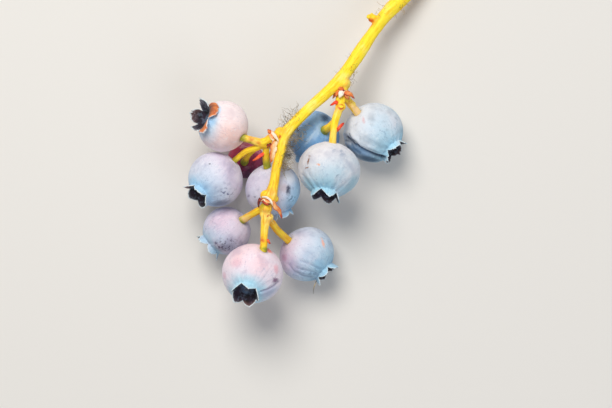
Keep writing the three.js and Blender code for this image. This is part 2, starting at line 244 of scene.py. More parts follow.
# Each berry. lobes has a row for each lobe round the crown from its turn: size, bluntness, curl in
# radians from foot to tip, how dry it is and the tone of its paper, from 0, dark, to 1, orange.
# creases: depth and width in mm and a path, in offsets from the centre seen from above. The wax is
# rosy and blue on the sides named and crownWax within crownReach mm of the crown; cover is how much
# skin it hides. marks: offset x and y, half width and half height in mm, turn in degrees, colour,
# strength and any blotches.
berries = {
    "top_left": dict(
        centre=(-23.4, 1.2, 15.6), radius=6.45, length=0.96, stalk=(0.77, -0.51, 0.38),
        crown=(-0.84, 0.34, 0.42), crownRadius=3.2, lobe=2.1, flare=0.75, turn=56,
        lobes=[(1.15, 3.0, 2.3, 1, 1.0), (1.1, 1.4, -0.1, 1, 0.0), (0.95, 2.9, -0.7, 1, 0.2),
               (0.75, 2.0, -1.0, 1, 0.15), (0.9, 3.0, 1.3, 1, 0.75)],
        seed=3, pucker=0.05, ragged=0.2, wax="#F6E6E9", rosy="#F0C8BE", rosyTo=(-0.1, -0.85, 0.4),
        blue="#C6D8EA", blueTo=(-0.8, 0.1, 0.5), blueFrom=0.45, skin="#8B6C80", cover=0.95, vein="#B7B4CE",
        crownWax="#A9CFEA", crownReach=3.2,
        marks=[(-3.2, 1.0, 2.0, 1.5, 40, "#A4CEF0", 0.85),
               (-1.4, 3.8, 1.0, 1.5, -25, "#AED6F4", 0.85)],
    ),
    "left": dict(
        centre=(-25.4, -12.1, 13.0), radius=7.0, length=0.95, stalk=(0.7, 0.71, 0.1),
        crown=(-0.65, -0.62, 0.44), crownRadius=3.2, lobe=1.6, flare=0.2, turn=69,
        lobes=[(0.85, 3.2, 0.1, 0, 0.3), (1.2, 1.15, 0.45, 0.5, 0.4), (0.8, 1.6, -0.1, 0.2, 0.3),
               (0.8, 1.6, -0.1, 0.2, 0.3), (1.0, 2.2, 0.05, 0, 0.3)],
        seed=11, pucker=0.03, ragged=0.12, wax="#DDDDEA", rosy="#D2C6DC", rosyTo=(0.7, 0.5, 0.4),
        blue="#C0D2E8", blueTo=(-0.5, -0.6, 0.4), blueFrom=-0.1, skin="#4A5486", cover=0.88,
        vein="#94B0CE", crownWax="#A0D0F0", crownReach=3.6,
        marks=[(-1.4, 3.9, 0.32, 0.26, 0, "#6F7684", 0.75),
               # the two dark blue-grey ovals low on the berry, at 1.5, -6.1 and 2.6, -3.6, are painted shade
               # along its lower edge
               (-2.9, 6.6, 0.25, 0.5, 30, "#FBFDFF", 0.8), (1.5, -6.1, 3.6, 1.2, 8, "#4E5A74", 0.75),
               (2.6, -3.6, 3.0, 1.8, 20, "#5D6488", 0.75, (0.4, 5, 0.52, 0.62))],
    ),
    "lower_left": dict(
        centre=(-22.7, -25.0, 9.5), radius=6.1, length=0.97, stalk=(0.69, 0.49, 0.53),
        crown=(-0.75, -0.65, -0.1), crownRadius=3.0, lobe=1.4, flare=0.5, turn=35,
        lobes=[(0.9, 1.7, 0.2, 0, 0.3), (1.25, 2.0, 0.3, 0, 0.3), (1.1, 1.8, 0.1, 0.1, 0.3),
               (1.1, 2.2, 0.15, 0.2, 0.3), (0.85, 1.7, 0.0, 0, 0.3)],
        seed=17, pucker=0.08, ragged=0.18, wax="#D3D0E3", rosy="#DAC2D4", rosyTo=(0.0, 0.0, 1.0),
        blue="#B9CCE2", blueTo=(-0.6, -0.7, 0.2), blueFrom=-0.1, skin="#45477A", cover=0.86,
        vein="#9FB0CC", crownWax="#A4D0E6", crownReach=3.0,
        marks=[(-2.6, -3.0, 0.55, 0.4, 20, "#4A3F63", 0.75),
               # the two wide dark ovals over the lower side, at -0.6, -4.2 and -0.2, -3.6, are painted shade
               (-1.9, -4.2, 0.4, 0.3, 0, "#5A4B72", 0.5), (-0.6, -4.2, 3.6, 1.2, 12, "#55506E", 0.45),
               (-0.2, -3.6, 3.8, 2.0, 12, "#3C3048", 0.8, (0.28, 4, 0.52, 0.62))],
    ),
    "bottom": dict(
        centre=(-16.1, -35.6, 16.8), radius=7.65, length=0.94, stalk=(0.4, 0.8, 0.45),
        crown=(-0.23, -0.68, 0.7), crownRadius=3.3, lobe=1.9, flare=0.1, turn=61,
        lobes=[(1.05, 1.7, 0.2, 0, 0.3), (0.9, 1.3, 0.0, 0, 0.3), (1.05, 1.8, 0.05, 0, 0.3),
               (0.9, 1.6, 0.1, 0.3, 0.3), (0.85, 1.5, 0.1, 0.4, 0.4)],
        creases=[(0.2, 0.28, [(2.2, -4.3), (3.8, -3.9), (5.3, -3.1), (6.6, -1.9)])],
        seed=23, pucker=0.05, ragged=0.12, wax="#EFE1EC", rosy="#F2CFD6", rosyTo=(0.2, 0.75, 0.6),
        blue="#C3DAEC", blueTo=(-0.1, -0.85, 0.5), blueFrom=0.0, skin="#6C5A8C", cover=0.92,
        vein="#A9B4D0", crownWax="#A6DAEC", crownReach=3.4,
        marks=[(-3.9, 2.7, 1.9, 1.4, 15, "#E09AAC", 0.38),
               (-7.0, -0.4, 0.6, 1.1, 10, "#D59CB0", 0.5), (5.7, -1.6, 1.0, 0.75, 30, "#6C4468", 0.85),
               (6.0, 1.2, 0.7, 1.4, 0, "#EFA6B2", 0.6), (4.2, 5.8, 1.2, 0.6, -35, "#D8603E", 0.8),
               (4.4, -4.6, 2.8, 1.3, 24, "#A9B4D2", 0.6)],
    ),
    "bottom_right": dict(
        centre=(-2.6, -30.9), radius=7.1, length=0.93, stalk=(-0.71, 0.53, 0.47), crown=(0.71, -0.7, 0.1),
        crownRadius=2.95, lobe=1.3, flare=0.15, turn=65,
        lobes=[(1.3, 2.6, 0.1, 0.1, 0.5), (1.0, 1.6, 0.2, 0.2, 0.4), (1.0, 1.7, 0.0, 0.2, 0.4),
               (1.4, 2.8, 0.1, 0, 0.3), (0.9, 1.9, -0.1, 0, 0.3)],
        creases=[(0.08, 0.26, [(0.4, 0.6), (2.4, -1.0), (4.0, -2.6)]),
                 (0.13, 0.28, [(-1.5, -1.6), (0.8, -2.4), (3.2, -3.7)]),
                 (0.13, 0.28, [(-2.6, -3.4), (-0.2, -4.0), (2.4, -4.7)]),
                 (0.16, 0.3, [(-4.4, -2.6), (-3.2, -4.2), (-1.2, -5.3), (1.4, -5.8)])],
        seed=31, pucker=0.12, ragged=0.22, wax="#D9DEEC", rosy="#D3BCD0", rosyTo=(-0.8, -0.3, 0.5),
        blue="#AFCFE4", blueTo=(0.6, -0.55, 0.3), blueFrom=-0.4, skin="#46548A", cover=0.88,
        vein="#82AACB", crownWax="#9CCBE4", crownReach=4.2,
        marks=[(4.1, 2.9, 0.34, 1.5, 18, "#F6B59C", 0.85),
               (-5.6, -0.8, 0.8, 1.2, 0, "#BC86A4", 0.55), (3.4, -2.6, 2.0, 1.6, -30, "#92C4E4", 0.55),
               # the last mark, a wide dark blue patch over the creased underside, is painted shade
               (1.0, -4.4, 4.0, 1.8, -15, "#4C6E92", 0.6, (0.5, 5, 0.5, 0.64))],
    ),
    "middle": dict(
        centre=(-11.1, -14.5, 11.5), radius=7.0, length=0.93, stalk=(-0.23, 0.86, 0.46),
        crown=(0.35, -0.93, -0.12), crownRadius=2.5, lobe=1.6, flare=0.25, turn=26,
        lobes=[(0.7, 3.4, -0.4, 0, 0.3), (0.85, 2.6, -0.2, 0.1, 0.3), (0.9, 2.4, 0.0, 0.2, 0.3),
               (0.9, 2.6, -0.2, 0.2, 0.3), (0.85, 3.6, -0.4, 0, 0.3)],
        seed=37, pucker=0.05, ragged=0.1, wax="#D6D8EA", rosy="#CFC6DA", rosyTo=(-0.9, 0.1, 0.4),
        blue="#A4CBE6", blueTo=(0.95, -0.3, 0.0), blueFrom=0.3, skin="#3A4A7C", cover=0.87, vein="#82AACB",
        crownWax="#8EC6EA", crownReach=6.5,
        # the first mark is painted light: a pale patch where the twig casts its shadow on the berry
        marks=[(4.2, 3.2, 1.8, 2.4, 20, "#EDF3FC", 0.75), (2.9, 0.2, 1.2, 1.4, -6, "#C0AEB4", 0.6),
               (3.9, -0.2, 0.62, 1.4, -6, "#33364E", 0.9),
               (4.8, -2.3, 1.5, 1.3, 0, "#4E7092", 0.75, (0.32, 4, 0.5, 0.6)),
               (-6.0, -1.8, 0.4, 0.35, 0, "#6A5480", 0.6), (-4.4, -2.0, 0.35, 0.3, 0, "#6A6480", 0.6)],
    ),
    "right_front": dict(
        centre=(3.0, -9.7, 17.8), radius=7.8, length=0.87, stalk=(0.13, 0.97, 0.2),
        crown=(-0.15, -0.93, 0.33), crownRadius=3.4, lobe=1.85, flare=0.1, turn=43,
        lobes=[(1.05, 1.6, 0.15, 0.1, 0.3), (1.0, 1.3, 0.0, 0, 0.3), (1.0, 1.45, 0.1, 0, 0.3),
               (0.85, 1.5, -0.1, 0.2, 0.3), (0.85, 1.5, -0.1, 0.3, 0.3)],
        creases=[(0.13, 0.28, [(-6.6, -1.2), (-5.0, -3.3), (-3.7, -4.9)]),
                 (0.09, 0.26, [(-5.4, -0.4), (-4.0, -2.7), (-2.9, -4.5)]),
                 (0.09, 0.24, [(2.2, -1.8), (1.8, -3.4), (1.0, -4.9)]),
                 (0.08, 0.26, [(5.0, -2.4), (3.4, -4.0), (1.8, -5.1)])],
        seed=41, pucker=0.1, ragged=0.14, wax="#DDDEE6", rosy="#E0DDE2", rosyTo=(-0.2, 0.8, 0.6),
        blue="#A9D0E2", blueTo=(0.3, -0.85, 0.3), blueFrom=-0.4, skin="#40588A", cover=0.9, vein="#82AACB",
        crownWax="#9CD0E6", crownReach=4.2,
        marks=[(-5.2, 2.1, 0.26, 1.1, -14, "#84552F", 0.9),
               (-5.5, 0.4, 0.55, 0.26, 20, "#8A5A36", 0.85), (-4.9, 3.3, 0.35, 0.3, 0, "#9A8074", 0.6),
               (-2.7, 1.2, 0.4, 0.34, 0, "#F0A070", 0.8), (2.0, -1.6, 0.3, 0.8, -35, "#7F96AA", 0.6),
               # the two teal ovals at the lower corners are painted shade
               (-5.4, -3.2, 1.3, 2.6, 38, "#7DB0C6", 0.55), (5.6, -3.4, 1.3, 2.8, -38, "#86BACD", 0.5),
               (2.6, 4.4, 2.8, 1.2, -20, "#8C9CB4", 0.5, (0.6, 5, 0.5, 0.62))],
    ),
    "right": dict(
        centre=(14.3, -0.2), radius=7.6, length=0.96, stalk=(-0.57, 0.67, 0.48), crown=(0.69, -0.66, 0.3),
        crownRadius=3.3, lobe=1.4, flare=0.1, turn=12,
        lobes=[(1.1, 1.7, 0.1, 0, 0.3), (0.85, 1.5, 0.1, 0.3, 0.3), (0.9, 1.5, 0.1, 0.3, 0.4),
               (1.05, 1.3, 0.2, 0.1, 0.3), (0.9, 3.4, -0.15, 0, 0.3)],
        creases=[(0.62, 0.45,
                  [(-6.7, -1.3), (-4.8, -3.2), (-3.0, -4.4), (-1.0, -5.3), (1.2, -6.1), (2.9, -6.5)]),
                 (0.25, 0.26, [(-7.0, -2.0), (-5.9, -2.6), (-5.0, -4.1), (-3.4, -5.2)]),
                 (0.22, 0.24, [(-6.1, -0.4), (-5.6, -1.8), (-4.6, -2.4), (-3.9, -3.4)]),
                 (0.12, 0.26, [(-1.4, -4.2), (0.8, -5.0), (2.8, -5.2)]),
                 (0.14, 0.26, [(-2.2, -6.4), (-0.4, -6.8), (1.6, -7.1)])],
        seed=47, pucker=0.1, ragged=0.3, wax="#D9E1EC", rosy="#D6DCE8", rosyTo=(0.0, 0.8, 0.6),
        blue="#AED3E6", blueTo=(0.8, -0.4, 0.3), blueFrom=-0.4, skin="#1E324E", cover=0.9, vein="#82AACB",
        crownWax="#A2D4EC", crownReach=4.2,
        # the three dark blue marks below the big fold are painted shade
        marks=[(-3.2, -4.9, 4.2, 1.2, -30, "#5C82A8", 0.85),
               (-2.6, 3.0, 0.45, 1.0, 10, "#D6A6AE", 0.6), (-5.6, -4.4, 3.2, 1.5, -35, "#46688A", 0.9),
               (-1.4, -6.8, 4.6, 1.3, -14, "#375874", 0.95)],
    ),
    "behind_twig": dict(
        centre=(-1.0, -1.0), radius=6.75, length=0.94, stalk=(0.48, 0.19, 0.85),
        crown=(-0.25, -0.88, -0.4), crownRadius=2.7, lobe=1.4, flare=0.25, turn=0,
        lobes=[(1.0, 1.7, 0.1, 0, 0.3), (0.9, 1.9, 0.0, 0.1, 0.3), (1.05, 1.6, 0.1, 0.2, 0.3),
               (1.0, 2.0, 0.0, 0, 0.3), (0.95, 1.8, 0.1, 0, 0.3)],
        seed=53, pucker=0.04, ragged=0.1, wax="#8EB8E2", rosy="#7FAAD8", rosyTo=(0.7, 0.3, 0.5),
        blue="#70AAE0", blueTo=(0.2, -0.9, 0.3), blueFrom=-0.4, skin="#2A5590", cover=0.84, vein="#82AACB",
        crownWax="#86B4DA", crownReach=4.2,
        marks=[(1.0, 0.8, 1.1, 3.2, -32, "#BBD8F4", 0.5),
               (-0.8, -0.9, 0.45, 2.8, -36, "#C6E0F6", 0.55), (3.6, 0.4, 0.6, 2.2, -20, "#A9CBEC", 0.5),
               # the last mark, a dark patch at the upper right, is a painted shadow of the stalk over it
               (3.2, 4.5, 1.5, 1.7, -20, "#1E4468", 0.9)],
    ),
    "unripe": dict(
        centre=(-18.0, -7.2), radius=4.75, length=0.95, stalk=(-0.1, -0.16, 0.98), crown=(0.0, 0.94, -0.3),
        crownRadius=2.0, lobe=1.2, flare=0.25, turn=0,
        lobes=[(1.1, 1.7, 0.3, 0, 0.3), (1.0, 1.6, 0.1, 0, 0.3), (0.9, 1.6, 0.0, 0, 0.3),
               (0.9, 1.6, 0.1, 0, 0.3), (1.0, 1.8, 0.1, 0, 0.3)],
        seed=59, pucker=0.02, ragged=0.1, wax="#BC4C6E", rosy="#D83C5C", rosyTo=(-0.5, 0.7, 0.5),
        blue="#5A2A52", blueTo=(0.7, -0.6, 0.3), blueFrom=-0.4, skin="#3C0E22", cover=0.72, vein="#A85878",
        crownWax="#FBD0DA", crownReach=2.2,
        # the first mark is a painted highlight, a glossy pink patch
        marks=[(2.4, 2.4, 2.4, 1.6, -25, "#F08AA8", 0.8, (1.3, 5, 0.42, 0.6)),
               (-2.4, 2.8, 1.6, 1.2, 20, "#C02A4C", 0.7),
               (-0.6, 3.6, 1.8, 0.6, 10, "#F6B4C4", 0.7, (0.8, 5, 0.45, 0.6))],
    ),
}


def centreOf(berry):
    if len(berry["centre"]) == 3:
        return np.array(berry["centre"], float)
    slant = unit(berry["crown"])[2]
    reach = berry["radius"] * math.hypot(math.sqrt(1 - slant * slant), berry["length"] * slant)
    return np.array([*berry["centre"], reach - flatDepth])


def seatOf(berry, depth):
    # the point where the stalk joins, that far below the skin
    way = unit(berry["stalk"])
    cosine = float(way @ unit(berry["crown"]))
    polar = berry["radius"] * berry["length"]
    reach = 1 / math.hypot(cosine / polar, math.sqrt(1 - cosine * cosine) / berry["radius"])
    return centreOf(berry) + way * (reach - depth)


# x, y, z and radius at each station, from the cut end to the tip
twigStations = [
    (33.7, 44.2, 1.5, 1.6), (27.2, 39.0, 3.7, 1.65), (20.5, 32.7, 6.2, 1.9), (17.2, 29.2, 7.5, 1.7),
    (14.2, 25.0, 8.7, 1.45), (11.0, 20.2, 10.5, 1.7), (8.2, 16.0, 12.2, 1.6), (5.7, 12.7, 14.0, 1.65),
    (2.5, 9.6, 15.2, 1.45), (-1.7, 5.8, 16.7, 1.38), (-5.5, 2.0, 18.0, 1.38), (-8.1, -1.2, 19.0, 1.5),
    (-9.0, -5.2, 19.8, 1.22), (-10.1, -9.5, 20.2, 1.15), (-10.7, -13.2, 20.5, 1.2),
    (-11.4, -16.0, 20.4, 1.65), (-12.0, -17.3, 20.3, 1.45), (-12.6, -19.5, 20.1, 1.25),
    (-12.8, -22.0, 19.9, 1.15), (-13.1, -25.5, 19.9, 0.95), (-13.2, -28.0, 20.1, 0.9),
]
# each stalk: its radius at the berry, how peachy its wax is, how green it turns at the berry and over
# how many mm, and its stations from inside the twig outwards
stalks = {
    "right_front": (1.0, 0.35, (0.15, 1.0), [
        (6.5, 12.2, 14.2, 1.3), (6.3, 10.2, 14.3, 1.45), (6.0, 8.2, 14.6, 1.3), (5.6, 5.6, 15.3, 1.05),
        (4.6, 2.7, 16.5, 0.95), (4.1, -0.4, 17.8, 0.88),
    ]),
    "right": (1.1, 0.85, (0.0, 1.0), [
        (6.4, 9.8, 14.2, 1.0), (7.6, 7.9, 13.5, 0.95), (8.9, 6.2, 12.3, 0.95),
    ]),
    "behind_twig": (1.3, 0, (1.0, 3.0), [(4.4, 2.4, 16.4, 0.8), (3.1, 1.1, 15.0, 0.85)]),
    "top_left": (1.0, 0.4, (0.75, 1.7), [
        (-9.2, -0.9, 18.8, 1.2), (-11.2, -2.0, 18.0, 1.4), (-13.4, -3.1, 17.5, 1.15),
        (-15.4, -2.6, 17.7, 1.0), (-17.1, -2.1, 18.0, 0.92),
    ]),
    "left": (0.8, 0, (0.7, 2.2), [
        (-12.9, -3.4, 17.3, 0.75), (-15.0, -4.2, 16.7, 0.8), (-17.5, -5.0, 15.5, 0.75),
        (-19.4, -6.3, 14.2, 0.72),
    ]),
    "middle": (1.0, 0, (1.0, 4.0), [
        (-12.5, -3.2, 17.3, 0.8), (-12.7, -5.3, 16.5, 0.85), (-12.7, -7.2, 15.5, 0.92),
    ]),
    "unripe": (1.1, 0, (1.0, 3.2), [
        (-13.7, -3.6, 17.0, 0.65), (-15.7, -4.7, 14.5, 0.7), (-17.4, -6.2, 11.8, 0.72),
    ]),
    "bottom": (1.0, 0, (0.9, 1.1), [(-13.1, -25.5, 19.9, 0.85), (-13.2, -28.0, 20.1, 0.9)]),
    "lower_left": (1.05, 0.7, (0.95, 2.1), [
        (-12.8, -19.0, 19.5, 0.9), (-14.7, -20.0, 18.0, 0.92), (-16.7, -21.1, 15.6, 0.9),
    ]),
    "bottom_right": (1.0, 0.15, (0.2, 1.2), [
        (-12.7, -21.2, 19.5, 0.9), (-11.2, -23.0, 17.6, 0.9), (-9.7, -25.0, 14.7, 0.92),
    ]),
}
sideBud = (13.3, 29.0, 8.8)
# swollen joints and the side bud, as balls sunk in the twig: x, y, z, radius
swellings = [
    (6.7, 12.0, 14.2, 1.75), (-9.0, -0.8, 18.7, 1.72), (-11.7, -16.2, 20.3, 1.75), (14.1, 28.5, 8.3, 1.1),
    (13.5, 28.9, 8.6, 0.7), (12.95, 29.0, 8.9, 0.4), (13.9, 29.6, 8.6, 0.42), (7.3, 8.3, 13.9, 1.15),
    (-11.3, -2.1, 18.0, 1.45), (-12.6, -19.4, 20.1, 1.42), (-12.6, -3.4, 17.4, 1.05),
    (-12.9, -16.1, 20.1, 1.25), (-10.7, -16.8, 20.2, 1.2), (-12.7, -19.3, 20.1, 1.6),
    (-12.9, -20.8, 19.9, 1.3), (6.0, 6.1, 15.1, 1.22), (-12.0, -21.6, 19.5, 1.2),
    (-13.3, -3.0, 17.5, 1.28), (8.7, 6.5, 12.5, 1.05),
]

# the camera looks straight down, as the photo looks at the hanging sprig

cameraView = dict(
    middle=(-2.75, -18.25),  # mm, what the photo's middle shows
    focusHeight=15.0,  # mm above the floor, where the scale below holds
    distance=765.0,  # mm from there
    photoWidth=153.0,  # mm across the picture at that height
    sensor=36.0,
    reach=10,  # m
)


def makeCamera(view):
    lens = bpy.data.cameras.new("camera")
    lens.sensor_width = view["sensor"]
    lens.lens = view["sensor"] * view["distance"] / view["photoWidth"]
    lens.clip_end = view["reach"]
    camera = bpy.data.objects.new("camera", lens)
    camera.location = toMetres((*view["middle"], view["focusHeight"] + view["distance"])).tolist()
    bpy.context.collection.objects.link(camera)
    bpy.context.scene.camera = camera


makeCamera(cameraView)
print("camera placed")

# the berries

berryShape = dict(
    sides=160,  # 32 to each calyx lobe
    bodyRows=84,
    lobeRows=10,
    cupRows=14,
    unevenness=0.014,  # of the radius
    swells=((1.3, 1), (3.1, 0.35)),  # waves round it and their shares
    tears=((7.0, 1), (19.0, 0.7)),  # the same in the lobes' edges
    dimpleDepth=0.55,  # mm, where the stalk enters
    dimpleRadius=1.25,
    lipHeight=0.12,  # round the dimple
    lipRadius=2.1,
    lipWidth=0.6,
    puckers=17,  # round the crown
    puckerReach=1.6,  # mm from the rim
    lineReach=7,
    creaseWander=0.12,  # mm
    wallAtRim=0.5,  # mm, thickness of the calyx
    wallAtTip=0.2,
    sinusRise=0.2,  # mm, how high the calyx stands between two lobes
    sinusSpread=0.1,
    tipHeight=0.04,
    tipShift=0.16,  # how far a lobe's tip may stand off its middle, as a share of its half
    cupDepth=0.85,
    ridgeHeight=0.16,  # round the bottom of the cup
    scarRadius=0.42,  # where the flower's style stood
    scarDepth=0.22,
)


def layWaves(points, waves, seed, step):
    return sum(share * bumpiness(points, scale, seed + i * step) for i, (scale, share) in enumerate(waves))


def distanceToPath(across, path):
    # the shortest distance in the plane from each point to a bent line
    gaps = []
    for start, end in zip(path[:-1], path[1:]):
        start, end = np.array(start), np.array(end)
        way = end - start
        share = np.clip(((across - start) @ way) / (way @ way), 0, 1)
        gaps.append(np.linalg.norm(across - start - share[:, None] * way, axis=1))
    return np.min(gaps, axis=0)


def berryProfile(berry, shape):
    # rows from the stalk's pole over the rim and down into the cup: radius, height, rise up the lobes,
    # distance from the rim (negative in the cup), inside or not, wall thickness; then the poles' heights
    radius, rim = berry["radius"], berry["crownRadius"]
    polar = radius * berry["length"]
    rimAngle = math.pi - math.asin(rim / radius)
    rimHeight = -polar * math.cos(rimAngle)
    rows = []
    for i in range(1, shape["bodyRows"] + 1):
        angle = rimAngle * i / shape["bodyRows"]
        height = -polar * math.cos(angle)
        rows.append((radius * math.sin(angle), height, 0, (rimAngle - angle) * radius, 0, 0))
    rises = [i / shape["lobeRows"] for i in range(1, shape["lobeRows"] + 1)]
    thinning = shape["wallAtTip"] - shape["wallAtRim"]
    lobeRows = [(rise, 0, 0, 0) for rise in rises]
    lobeRows.append((1, shape["tipHeight"], 0.5, shape["wallAtTip"] / 2))
    lobeRows += [(rise, 0, 1, shape["wallAtRim"] + thinning * rise) for rise in [*rises[::-1], 0]]
    for rise, lift, inside, wall in lobeRows:
        height = rimHeight + shape["sinusRise"] * rise + lift
        rows.append((rim + shape["sinusSpread"] * rise, height, rise, 0, inside, wall))
    inner = rim - shape["wallAtRim"]
    for i in range(1, shape["cupRows"]):
        share = 1 - i / shape["cupRows"]  # of the way out from the axis
        across = inner * share
        bowl = shape["cupDepth"] * smoothStep(1.0, 0.72, share)
        ridge = shape["ridgeHeight"] * bell(share - 0.45, 0.12)
        scar = shape["scarDepth"] * bell(across, shape["scarRadius"])
        rows.append((across, rimHeight - bowl + ridge - scar, 0, across - inner, 1, 0))
    return np.array(rows), (-polar, rimHeight - shape["cupDepth"] - shape["scarDepth"])


def crownTurn(berry):
    # turns the profile's +Y to the way the crown points, the short way round
    way = Vector(unit(berry["crown"]))
    return np.array(Vector((0, 1, 0)).rotation_difference(way).to_matrix())


def makeBerry(name, berry, shape):
    rows, poles = berryProfile(berry, shape)
    sides, seed = shape["sides"], berry["seed"]
    around = np.arange(sides) / sides * math.tau
    place = around / math.tau * 5
    lobe = np.round(place).astype(int) % 5
    sizes, blunt, curl, dry, tone = np.array(berry["lobes"], float).T[:, lobe]
    off = (place - np.round(place)) * 2  # -1 and 1 at the notches, 0 at a lobe's middle
    shift = np.random.default_rng(seed).uniform(-shape["tipShift"], shape["tipShift"], 5)[lobe]
    off = off + shift * (1 - off * off)
    bend = (curl + 0.003) / berry["lobe"]  # radians a millimetre, never quite none
    body = np.clip(1 - np.abs(off) ** blunt, 0, 1)
    ring = np.stack([np.cos(around), np.sin(around), np.full(sides, seed)], 1)
    torn = 1 + 1.4 * berry["ragged"] * layWaves(ring, shape["tears"], seed, 2) * body
    length = berry["lobe"] * body * sizes * torn * math.hypot(1, berry["flare"])

    # each lobe starts at its flare and bends evenly from there, its wall square to its own slope
    radius, height, rise, fromRim, inside, wall = rows.T[:, :, None]
    leaning = math.atan(berry["flare"]) * smoothStep(0, 0.4, body)
    slope = leaning + bend * length * rise
    across = radius + (np.cos(leaning) - np.cos(slope)) / bend - wall * np.cos(slope)
    tall = height + (np.sin(slope) - np.sin(leaning)) / bend + wall * np.sin(slope)
    turned = around + math.radians(berry["turn"])
    grid = np.stack([across * np.sin(turned), tall * np.ones(sides), across * np.cos(turned)], -1)
    points = np.vstack([[(0, poles[0], 0)], grid.reshape(-1, 3), [(0, poles[1], 0)]])

    def spread(values, atStalk=0, atScar=0):
        # a value for each point, from rows or sides, between the two poles' own
        return np.concatenate([[atStalk], np.broadcast_to(values, across.shape).ravel(), [atScar]])

    fromRim, inside, angle = spread(fromRim, 20, -3), spread(inside, 0, 1), spread(around)
    # a place that runs slowly along the meridians, so that noise on it makes lines to the crown
    meridian = np.stack([3.2 * np.cos(angle), 3.2 * np.sin(angle), 0.16 * fromRim], 1)

    points = points @ crownTurn(berry).T  # now about the berry's centre, in the sprig's axes
    ways = points / np.linalg.norm(points, axis=1)[:, None]
    uneven = layWaves(ways, shape["swells"], seed, 5)
    points *= (1 + shape["unevenness"] * uneven)[:, None]

    # the dimple round the stalk, the puckers round the crown and the folds of a soft berry
    onBody = inside < 0.25
    skinOnly = (spread(rise) < 0.01) * onBody
    seat = unit(seatOf(berry, 0) - centreOf(berry))
    nearStalk = np.arccos(np.clip(ways @ seat, -1, 1)) * berry["radius"]
    dip = shape["dimpleDepth"] * bell(nearStalk, shape["dimpleRadius"])
    dip -= shape["lipHeight"] * bell(nearStalk - shape["lipRadius"], shape["lipWidth"])
    waves = np.cos(angle * shape["puckers"] + 3 * bumpiness(ways, 2.0, seed + 9))
    dip += berry["pucker"] * waves * np.exp(-fromRim / shape["puckerReach"]) * skinOnly
    lines = 1 - np.minimum(1, np.abs(bumpiness(meridian, 0.9, seed + 13)) * 4)
    dip += 0.5 * berry["pucker"] * lines * np.exp(-fromRim / shape["lineReach"]) * skinOnly
    fold = np.zeros(len(points))
    for depth, width, path in berry.get("creases", []):
        wandering = points[:, :2] + shape["creaseWander"] * np.stack([uneven, -uneven], 1)
        gap = distanceToPath(wandering, path)
        up = smoothStep(-1.0, 1.0, points[:, 2])
        groove = bell(gap, width) * up
        swell = bell(gap - 2.4 * width, 1.3 * width) * up
        dip += depth * (groove - 0.35 * swell) * onBody
        fold = np.maximum(fold, groove * min(1, depth * 3))
    points -= ways * dip[:, None]
    points += centreOf(berry)
    points[:, 2] = np.maximum(points[:, 2], 0)

    last = len(points) - 1
    faces = [(0, 1 + (a + 1) % sides, 1 + a) for a in range(sides)]
    faces += gridFaces(1, len(rows), sides, closed=True)
    faces += [(last, last - sides + a, last - sides + (a + 1) % sides) for a in range(sides)]
    piece = makePiece(f"{name}_berry", points, faces, attributes={
        "fromRim": fromRim,
        "lobe": spread(rise),
        "inside": inside,
        "dry": spread(dry * smoothStep(0, 0.35, body) * rise),
        "dryTone": spread(tone),
        "meridian": meridian + seed,
        "nearStalk": nearStalk,
        "fold": fold,
    })
    turnFacesOut(piece)
    return piece


skinFinish = dict(
    # cup: the cup's own purple-black, made near-black as painted shade in the hollow
    cup="#0F0B13", cupPale="#2E2233", cupDust="#6F7F95", cupBloom="#5F7C9C", styleScar="#A08A78",
    lobeInside="#56697A", edge="#E4F0F4", thickWax="#EEF5FA", sheen="#D8E8F8",
    paper="#35303C", paperOrange="#F08C48", paperGrey="#8E8896", paperRust="#C04E1E",
)


def bareSkinAndCreaseShade(tree, place, thin, toLine):
    # where the wax has worn: patches, smears, pores, the lines to the crown and the dimple; in the folds the
    # darker skin is painted crease shade as well as worn wax
    wearAndCreaseShade = [
        (0.16 + thin * 1.4, (2.2, 6, 0.48, 0.72)),
        (0.12 + thin * 1.6, (0.8, 6, 0.54, 0.76)),
        (0.14 + thin * 1.2, (0.22, 2, 0.62, 0.74)),
        (0.1 + thin, (1.3, 3, 0.35, 0.62), (toLine, 0.028, 0.0), ("fromRim", 13.0, 1.0)),
        # painted shade: the folds darken toward the bare skin's colour
        (0.95, None, ("fold", 0.0, 1.0)),
        (0.5, None, ("nearStalk", 1.5, 0.9)),
    ]
    bareAndCreaseShade = 0.0
    for shown in wearAndCreaseShade:
        mask = makeMask(tree, place, *shown)
        bareAndCreaseShade = addNode(tree, "ShaderNodeMath", {0: bareAndCreaseShade, 1: mask}, operation="MAXIMUM")
    return bareAndCreaseShade


def markLayers(tree, place, berry):
    # rubs, scratches and bruises, and on some berries painted shade, a painted shadow, a pale patch of
    # painted light and a painted highlight, each a soft oval with a ragged edge
    ragged = addNode(tree, "ShaderNodeTexNoise", {"Vector": place, "Scale": 1700, "Detail": 3})
    shift = {0: ragged.outputs["Color"], 1: [0.9 * mm] * 3, 2: [-0.45 * mm] * 3}
    ragged = addNode(tree, "ShaderNodeVectorMath", shift, operation="MULTIPLY_ADD")
    rough = addNode(tree, "ShaderNodeVectorMath", {0: place, 1: ragged}, operation="ADD")
    layers = []
    for x, y, wide, tall, turn, colour, strength, *blotches in berry["marks"]:
        z = math.sqrt(max(berry["radius"] ** 2 - x * x - y * y, 1.0))
        oval = {
            "Vector": rough,
            "Location": toMetres(centreOf(berry) + (x, y, z)).tolist(),
            "Rotation": [0, 0, math.radians(turn)],
            "Scale": [wide * mm, tall * mm, 3.5 * mm],
        }
        oval = addNode(tree, "ShaderNodeMapping", oval, vector_type="TEXTURE")
        gap = addNode(tree, "ShaderNodeVectorMath", {0: oval}, operation="LENGTH")
        layers.append((colour, strength, blotches[0] if blotches else None, (gap, 1.25, 0.25)))
    return layers


